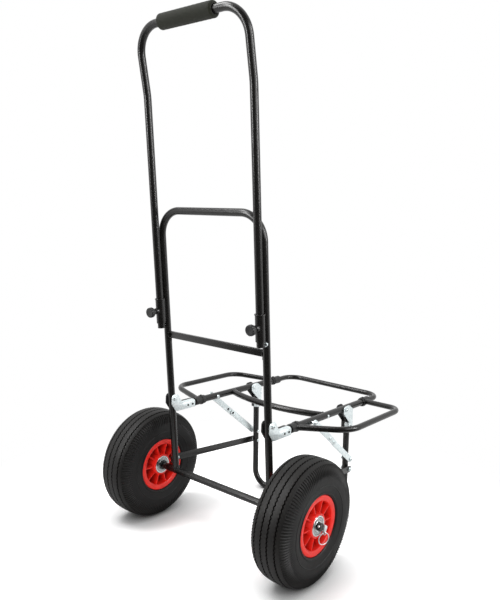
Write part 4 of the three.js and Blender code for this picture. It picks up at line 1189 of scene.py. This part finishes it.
class TROLLEY_OT_brackets(bpy.types.Operator):
    """Builds the hinge brackets between mast, rails and leg"""

    bl_idname = "trolley.brackets"
    bl_label = "Hinge brackets"

    def execute(self, context):
        tubes, _, fittings = sizes()
        lean = tubes.leg_lean
        leg_down = Vector((0, math.sin(lean), -math.cos(lean)))
        leg_back = Vector((0, -math.cos(lean), -math.sin(lean)))
        front_drop = (LEG_HINGE - STRUT_FRONT).dot(leg_back)
        rear = (fittings.web_start, fittings.tongue, fittings.heel_round)
        front = (fittings.front_web_start, fittings.front_tongue, fittings.front_heel_round)
        for side, sign in SIDES:
            across = ACROSS * sign * FRAME_X
            self.bracket(side, "rear", "platform", FOLD + across, AHEAD, UP, FOLD.z - LEG_HINGE.z, *rear)
            self.bracket(side, "front", "leg", LEG_HINGE + across, leg_down, leg_back, front_drop, *front)
        return {"FINISHED"}

    def outline(self, drop, inset, web_start, end, heel_round):
        """Side outline of a cheek: along the tube it holds, and up from the hinge"""
        fittings = bpy.context.scene.trolley_fittings
        radius = fittings.ear - inset
        top = fittings.crown - drop - fittings.web_round - inset
        bottom = -drop - fittings.tongue_below + inset
        return [
            (end, top, 0.8 * MM), (web_start + fittings.shoulder_gap, top, 5 * MM),
            (radius * 0.8, radius, radius * 0.8), (-radius, radius * 0.98, radius * 0.95),
            (-radius, -fittings.heel, heel_round), (4 * MM, bottom, 4 * MM), (end, bottom, 2 * MM),
        ]

    def arch(self, span, space, drop, outer, flip):
        """Half of the web over a tube, from its crown to the cheek, with a wall that closes its hinge end"""
        fittings = bpy.context.scene.trolley_fittings
        sheet, soft, high = fittings.end_wall, fittings.web_round, fittings.crown - drop
        inner, foot, low = outer - sheet, high - soft - 0.4 * MM, -drop - fittings.crown * 0.8
        web = [
            (0, high, 0), (outer, high, soft), (outer, foot, 0), (inner, foot, 0),
            (inner, high - sheet, soft - sheet), (0, high - sheet, 0),
        ]
        side, lid = outer - sheet / 2, high - sheet / 2
        wall = [(0, lid, 0), (side, lid, soft), (side, low, 0), (0, low, 0)]
        half = bmesh.new()
        for points, depth in ((web, span), (wall, sheet)):
            points = [(a * flip[0], b * flip[1], radius) for a, b, radius in points]
            into(half, prism(points, depth, space, fittings.edge, 8))
        return half

    def bracket(self, side, label, body, middle, along, up, drop, web_start, tongue, heel_round):
        """Zinc plate on the right-hand half, black block on the left-hand half"""
        tubes, _, fittings = sizes()
        gap, sheet, liner = fittings.clearance, fittings.sheet, fittings.liner
        inner = tubes.mast_radius + 2 * gap + liner
        outer, span = inner + sheet, tongue - web_start
        shape, black_inset, liner_inset = (web_start, tongue, heel_round), 1.2 * MM, 2.6 * MM
        zinc = self.cheek(self.outline(drop, 0, *shape), middle, inner, along, up, sheet)
        space = facing(middle + along * web_start, along, ACROSS)
        lift = 1 if (space.to_3x3() @ Vector((0, 1, 0))).dot(up) > 0 else -1
        into(zinc, self.arch(span, space, drop, outer, (1, lift)))
        screws = bmesh.new()
        # Places of the two screws along the plate's straight part
        for share in (0.42, 0.8):
            head = middle + along * (web_start + span * share) - up * drop + ACROSS * outer
            dome_head(head, ACROSS, fittings.screw, fittings.screw_rise, bm=screws)
        piece(f"{label}_hinge_screws_{side}", screws, POWDER, body)
        piece(f"{label}_hinge_plate_{side}", zinc, ZINC, body, [f"{label}_bracket_{side}"])
        black = self.cheek(self.outline(drop, black_inset, *shape), middle, -outer, along, up, sheet)
        space.translation -= ACROSS * gap
        into(black, self.arch(span, space, drop + gap, outer, (-1, lift)))
        lining = self.outline(drop, liner_inset, *shape)
        for offset in (gap - inner, inner - gap - liner):
            into(black, self.cheek(lining, middle, offset, along, up, liner))
        piece(f"{label}_hinge_block_{side}", black, NYLON, body, [f"{label}_liner_{side}"])

    def cheek(self, outline, middle, offset, along, up, thickness):
        """One side plate; its outline is drawn along the tube and up from the hinge"""
        if ACROSS.cross(along).dot(up) < 0:
            outline = [(a, -b, radius) for a, b, radius in outline]
        space = facing(middle + ACROSS * offset, ACROSS, along)
        return prism(outline, thickness, space, bpy.context.scene.trolley_fittings.edge, 10)


class TROLLEY_OT_leg(bpy.types.Operator):
    """Builds the front leg"""

    bl_idname = "trolley.leg"
    bl_label = "Front leg"

    def execute(self, context):
        tubes = bpy.context.scene.trolley_tubes
        leg_up = Vector((0, -math.sin(tubes.leg_lean), math.cos(tubes.leg_lean)))
        top = (LEG_HINGE - STRUT_FRONT).dot(leg_up) - tubes.leg_top_gap
        foot = -(STRUT_FRONT.z - tubes.leg_radius) / math.cos(tubes.leg_lean)
        middle = Vector((FRAME_X, STRUT_FRONT.y, STRUT_FRONT.z))
        corners = across_frame([middle + leg_up * along for along in (top, foot)])
        leg = bent_tube(corners, [tubes.leg_bend] * 2, tubes.leg_radius, tubes.thin_wall)
        piece("leg_tube", leg, POWDER, "leg", ["front_leg"])
        return {"FINISHED"}


class TROLLEY_OT_struts(bpy.types.Operator):
    """Builds the lower struts and the folding braces"""

    bl_idname = "trolley.struts"
    bl_label = "Struts and braces"

    def execute(self, context):
        fittings = bpy.context.scene.trolley_fittings
        inner, thick = fittings.strut_inner, fittings.strut_thick
        strut = self.bar(STRUT_REAR, STRUT_FRONT, fittings.strut_half, inner, thick)
        pair("flat_strut_{}", strut, POWDER, "strut_{}", "lower_strut_{}")

        knee = (BRACE_TOP + BRACE_LOW) / 2
        half, thick, rise = fittings.link_half, fittings.link_thick, fittings.rivet_rise
        upper = self.bar(BRACE_TOP, knee, half, fittings.link_outer, thick)
        lower = self.bar(BRACE_LOW, knee, half, fittings.link_inner, thick)
        for label, share, inner, back_rise, body in (
            ("knee", 1, fittings.link_inner, rise * 0.8, "lower_link_{}"),
            ("stop", 0.8, fittings.link_outer, fittings.flush_rise, "upper_link_{}"),
        ):
            place = BRACE_TOP.lerp(knee, share)
            place.x = FRAME_X + fittings.link_outer + thick
            dome_head(place, ACROSS, fittings.rivet, rise, 28, upper)
            place.x = FRAME_X + inner
            back = dome_head(place, -ACROSS, fittings.rivet * 0.8, back_rise)
            pair(label + "_rivet_back_{}", back, POWDER, body)
        pair("upper_brace_{}", upper, ZINC, "upper_link_{}", "upper_link_{}")
        pair("lower_brace_{}", lower, ZINC, "lower_link_{}", "lower_link_{}")
        return {"FINISHED"}

    def bar(self, start, end, half, inner, thick):
        """A flat bar with round ends between two pivots"""
        along = Vector((0, end.y - start.y, end.z - start.z))
        low, high, soft = -half, along.length + half, half * ROUND_END
        outline = [(low, -half, soft), (high, -half, soft), (high, half, soft), (low, half, soft)]
        space = facing(Vector((FRAME_X + inner, start.y, start.z)), ACROSS, along)
        return prism(outline, thick, space, bpy.context.scene.trolley_fittings.edge, 12)


class TROLLEY_OT_bolts(bpy.types.Operator):
    """Builds the hinge bolts with their nuts"""

    bl_idname = "trolley.bolts"
    bl_label = "Bolts"

    def execute(self, context):
        tubes, _, fittings = sizes()
        bracket = tubes.mast_radius + 2 * fittings.clearance + fittings.liner + fittings.sheet
        strut, tube = fittings.strut_inner + fittings.strut_thick, tubes.leg_radius
        upper, lower = fittings.link_outer + fittings.link_thick, fittings.link_inner + fittings.link_thick
        self.bolt("fold_bolt", FOLD, bracket, bracket, "mast")
        self.bolt("leg_hinge_bolt", LEG_HINGE, bracket, bracket, "platform")
        self.bolt("strut_rear_bolt", STRUT_REAR, -fittings.tab_inner, strut, "mast")
        self.bolt("strut_front_bolt", STRUT_FRONT, tube, strut, "leg")
        self.bolt("brace_top_bolt", BRACE_TOP, tubes.rail_radius, upper, "platform")
        self.bolt("brace_low_bolt", BRACE_LOW, tube, lower, "leg")
        return {"FINISHED"}

    def bolt(self, name, place, inside, outside, body):
        """A round-headed bolt with a washer outside, a six-sided nut inside and a black disc on its head that
        paints the shade of a socket
        """
        fittings = bpy.context.scene.trolley_fittings
        seat, nut_seat = -fittings.clearance / 2, ACROSS * fittings.clearance / 2
        outer = Vector((FRAME_X + outside, place.y, place.z))
        inner = Vector((FRAME_X - inside, place.y, place.z))
        head, washer, rise = fittings.bolt_head, fittings.washer, fittings.bolt_rise
        cap = [
            (-seat, 0), (-seat, head), (washer, head), (washer, head * 0.8), (rise * 0.55, head * 0.8),
            (rise * 0.9, head * 0.62), (rise, head * 0.3), (rise, 0),
        ]
        bm = turned(cap, outer, ACROSS, 32)
        run, shank = outer.x - inner.x + fittings.clearance, fittings.bolt_radius
        turned([(0, 0), (0, shank), (run, shank), (run, 0)], inner, ACROSS, 20, bm=bm)
        into(bm, hex_head(inner - nut_seat, -ACROSS, fittings.nut, fittings.nut_rise, 0.3 * MM))
        pair(name + "_set_{}", bm, ZINC, body, name + "_{}")
        # Painted shade: a black powder-coat disc on the head stands for the shade in a socket
        low, size = rise * 0.9, 1.6 * MM
        socket_shade = turned([(low, 0), (low, size), (rise * 1.05, size), (rise * 0.98, 0)], outer, ACROSS, 6)
        pair(name + "_socket_{}", socket_shade, POWDER, body)


class TROLLEY_OT_stage(bpy.types.Operator):
    """Builds the floor, the light and the camera"""

    bl_idname = "trolley.stage"
    bl_label = "Stage"

    def execute(self, context):
        self.floor()
        self.world()
        self.lights()
        self.camera()
        context.scene.view_settings.view_transform = "Standard"
        return {"FINISHED"}

    def seen(self, tree):
        """1 for rays from the camera, a mirror or glass"""
        path = add(tree, "LightPath").outputs
        first = {0: path["Is Camera Ray"], 1: path["Is Glossy Ray"]}
        either = add(tree, "Math", first, operation="MAXIMUM").outputs[0]
        return add(tree, "Math", {0: either, 1: path["Is Transmission Ray"]}, operation="MAXIMUM").outputs[0]

    def studio(self, tree, way):
        """Level of the room in a direction: 1, and dark behind the camera, as in a tent with an open front"""
        turn = bpy.context.scene.trolley_stage.azimuth
        behind = Vector((math.sin(turn), -math.cos(turn), 0.1)).normalized()
        near = add(tree, "VectorMath", {0: way, 1: behind}, operation="DOT_PRODUCT").outputs["Value"]
        dark = {"Value": near, "From Min": 0.1, "From Max": 0.7, "To Min": 1, "To Max": 0.04}
        return add(tree, "MapRange", dark, interpolation_type="SMOOTHSTEP").outputs["Result"]

    def in_gloss(self, tree, level):
        """1 to the eye, the level in a reflection"""
        glossy = add(tree, "LightPath").outputs["Is Glossy Ray"]
        return add(tree, "Mix", {0: glossy, 2: 1, 3: level}, data_type="FLOAT").outputs[0]

    def floor(self):
        """Painted board: pale and dull, white to the eye, darkened only by the shadow"""
        scene = bpy.context.scene
        stage = scene.trolley_stage
        bm = bmesh.new()
        bmesh.ops.create_grid(bm, x_segments=1, y_segments=1, size=stage.floor_size / 2)
        mesh = bpy.data.meshes.new("floor")
        bm.to_mesh(mesh)
        bm.free()
        board = bpy.data.objects.new("floor", mesh)
        scene.collection.objects.link(board)
        paint = bpy.data.materials.new("matt_floor_paint")
        paint.use_nodes = True
        tree = paint.node_tree
        tree.nodes.clear()
        place = add(tree, "TexCoord").outputs["Object"]
        to_eye = add(tree, "LightPath").outputs["Is Camera Ray"]
        tones = {0: to_eye, 6: shade(scene.trolley_colours.floor), 7: (*(stage.floor_lift,) * 3, 1)}
        board_colour = add(tree, "Mix", tones, data_type="RGBA").outputs[2]
        contact = add(tree, "AmbientOcclusion", {"Color": board_colour, "Distance": stage.contact})
        lit = add(tree, "BsdfDiffuse", {"Color": contact.outputs["Color"]})
        away = add(tree, "VectorMath", {0: place}, operation="LENGTH").outputs["Value"]
        span = {"Value": away, "From Min": stage.floor_fade_start, "From Max": stage.floor_fade_end}
        fade = add(tree, "MapRange", span, interpolation_type="SMOOTHSTEP").outputs["Result"]
        share = add(tree, "Math", {0: fade, 1: self.seen(tree)}, operation="MULTIPLY")
        way = add(tree, "VectorMath", {0: place}, operation="NORMALIZE").outputs[0]
        strength = self.in_gloss(tree, self.studio(tree, way))
        white = add(tree, "Emission", {"Color": (1, 1, 1, 1), "Strength": strength})
        mixed = add(tree, "MixShader", {0: share.outputs[0], 1: lit.outputs[0], 2: white.outputs[0]})
        add(tree, "OutputMaterial", {"Surface": mixed.outputs[0]})
        mesh.materials.append(paint)

    def world(self):
        """White to the eye, dark behind the camera in reflections, and a plain level of light"""
        world = bpy.data.worlds.new("studio")
        bpy.context.scene.world = world
        world.use_nodes = True
        tree = world.node_tree
        tree.nodes.clear()
        level = self.studio(tree, add(tree, "TexCoord").outputs["Generated"])
        shown = add(tree, "Background", {"Color": (1, 1, 1, 1), "Strength": self.in_gloss(tree, level)})
        sky = add(tree, "Math", {0: level, 1: bpy.context.scene.trolley_stage.sky}, operation="MULTIPLY")
        light = add(tree, "Background", {"Color": (1, 1, 1, 1), "Strength": sky.outputs[0]})
        mixed = add(tree, "MixShader", {0: self.seen(tree), 1: light.outputs[0], 2: shown.outputs[0]})
        add(tree, "OutputWorld", {"Surface": mixed.outputs[0]})

    def lights(self):
        stage = bpy.context.scene.trolley_stage
        aim = Vector((0, 0, 0.45))
        for name, place, size, power in (
            ("key", Vector((-1.3, -1.3, 3.2)), 1.3, stage.key_power),
            ("fill", Vector((2.2, -0.6, 1.6)), 1.6, stage.fill_power),
            ("front", Vector((1.2, -2.2, 1.1)), 1.6, stage.front_power),
        ):
            lamp = self.lamp(name, facing(place, place - aim), power, shape="DISK", size=size)
            lamp.visible_glossy = name != "front"
        for side, sign in SIDES:
            turn = stage.azimuth + sign * stage.strip_turn
            way = Vector((math.sin(turn), -math.cos(turn), 0))
            space = facing(way * stage.strip_away + UP * stage.strip_height, way, UP.cross(way))
            shape = {"shape": "RECTANGLE", "size": stage.strip_wide, "size_y": stage.strip_tall}
            lamp = self.lamp(f"strip_{side}", space, stage.strip_power, **shape)
            lamp.visible_diffuse = False

    def lamp(self, name, space, power, **shape):
        """An area lamp that shines back along the Z axis of a space"""
        data = bpy.data.lights.new(name, "AREA")
        data.energy = power
        for key, value in shape.items():
            setattr(data, key, value)
        made = bpy.data.objects.new(name, data)
        made.matrix_world = space
        bpy.context.scene.collection.objects.link(made)
        return made

    def camera(self):
        stage = bpy.context.scene.trolley_stage
        az, el, roll = stage.azimuth, stage.elevation, stage.roll
        right = Vector((math.cos(az), math.sin(az), 0))
        back = Vector((math.sin(az) * math.cos(el), -math.cos(az) * math.cos(el), math.sin(el)))
        up = back.cross(right)
        level = right * math.cos(roll) + up * math.sin(roll)
        raised = up * math.cos(roll) - right * math.sin(roll)
        turn = Matrix((level, raised, back)).transposed().to_4x4()
        data = bpy.data.cameras.new("camera")
        data.sensor_width, data.lens = 36, stage.lens
        data.shift_x, data.shift_y = stage.shift_x, stage.shift_y
        camera = bpy.data.objects.new("camera", data)
        camera.matrix_world = Matrix.Translation(stage.camera_place) @ turn
        bpy.context.scene.collection.objects.link(camera)
        bpy.context.scene.camera = camera


GROUPS = {
    "trolley_tubes": TubeSizes,
    "trolley_wheels": WheelSizes,
    "trolley_fittings": FittingSizes,
    "trolley_colours": TrolleyColours,
    "trolley_stage": StageSizes,
}
OPERATORS = (
    TROLLEY_OT_mast, TROLLEY_OT_handle, TROLLEY_OT_clamps, TROLLEY_OT_axle, TROLLEY_OT_tyres,
    TROLLEY_OT_rims, TROLLEY_OT_platform, TROLLEY_OT_wings, TROLLEY_OT_brackets, TROLLEY_OT_leg,
    TROLLEY_OT_struts, TROLLEY_OT_bolts, TROLLEY_OT_stage,
)


class TROLLEY_PT_panel(bpy.types.Panel):
    """Lists the trolley's pieces, sizes and colours"""

    bl_label = "Fishing trolley"
    bl_idname = "TROLLEY_PT_panel"
    bl_space_type = "VIEW_3D"
    bl_region_type = "UI"
    bl_category = "Trolley"

    def draw(self, context):
        for operator in OPERATORS:
            self.layout.operator(operator.bl_idname, text=operator.bl_label)
        for name, group in GROUPS.items():
            box = self.layout.box()
            box.label(text=group.__name__)
            for key in group.__annotations__:
                box.prop(getattr(context.scene, name), key)


def register():
    for name, group in GROUPS.items():
        bpy.utils.register_class(group)
        setattr(bpy.types.Scene, name, PointerProperty(type=group))
    for operator in OPERATORS:
        bpy.utils.register_class(operator)
    bpy.utils.register_class(TROLLEY_PT_panel)


def unregister():
    bpy.utils.unregister_class(TROLLEY_PT_panel)
    for operator in reversed(OPERATORS):
        bpy.utils.unregister_class(operator)
    for name, group in reversed(GROUPS.items()):
        delattr(bpy.types.Scene, name)
        bpy.utils.unregister_class(group)


def main():
    register()
    for operator in OPERATORS:
        getattr(bpy.ops.trolley, operator.bl_idname.split(".")[1])()


if __name__ == "__main__":
    main()
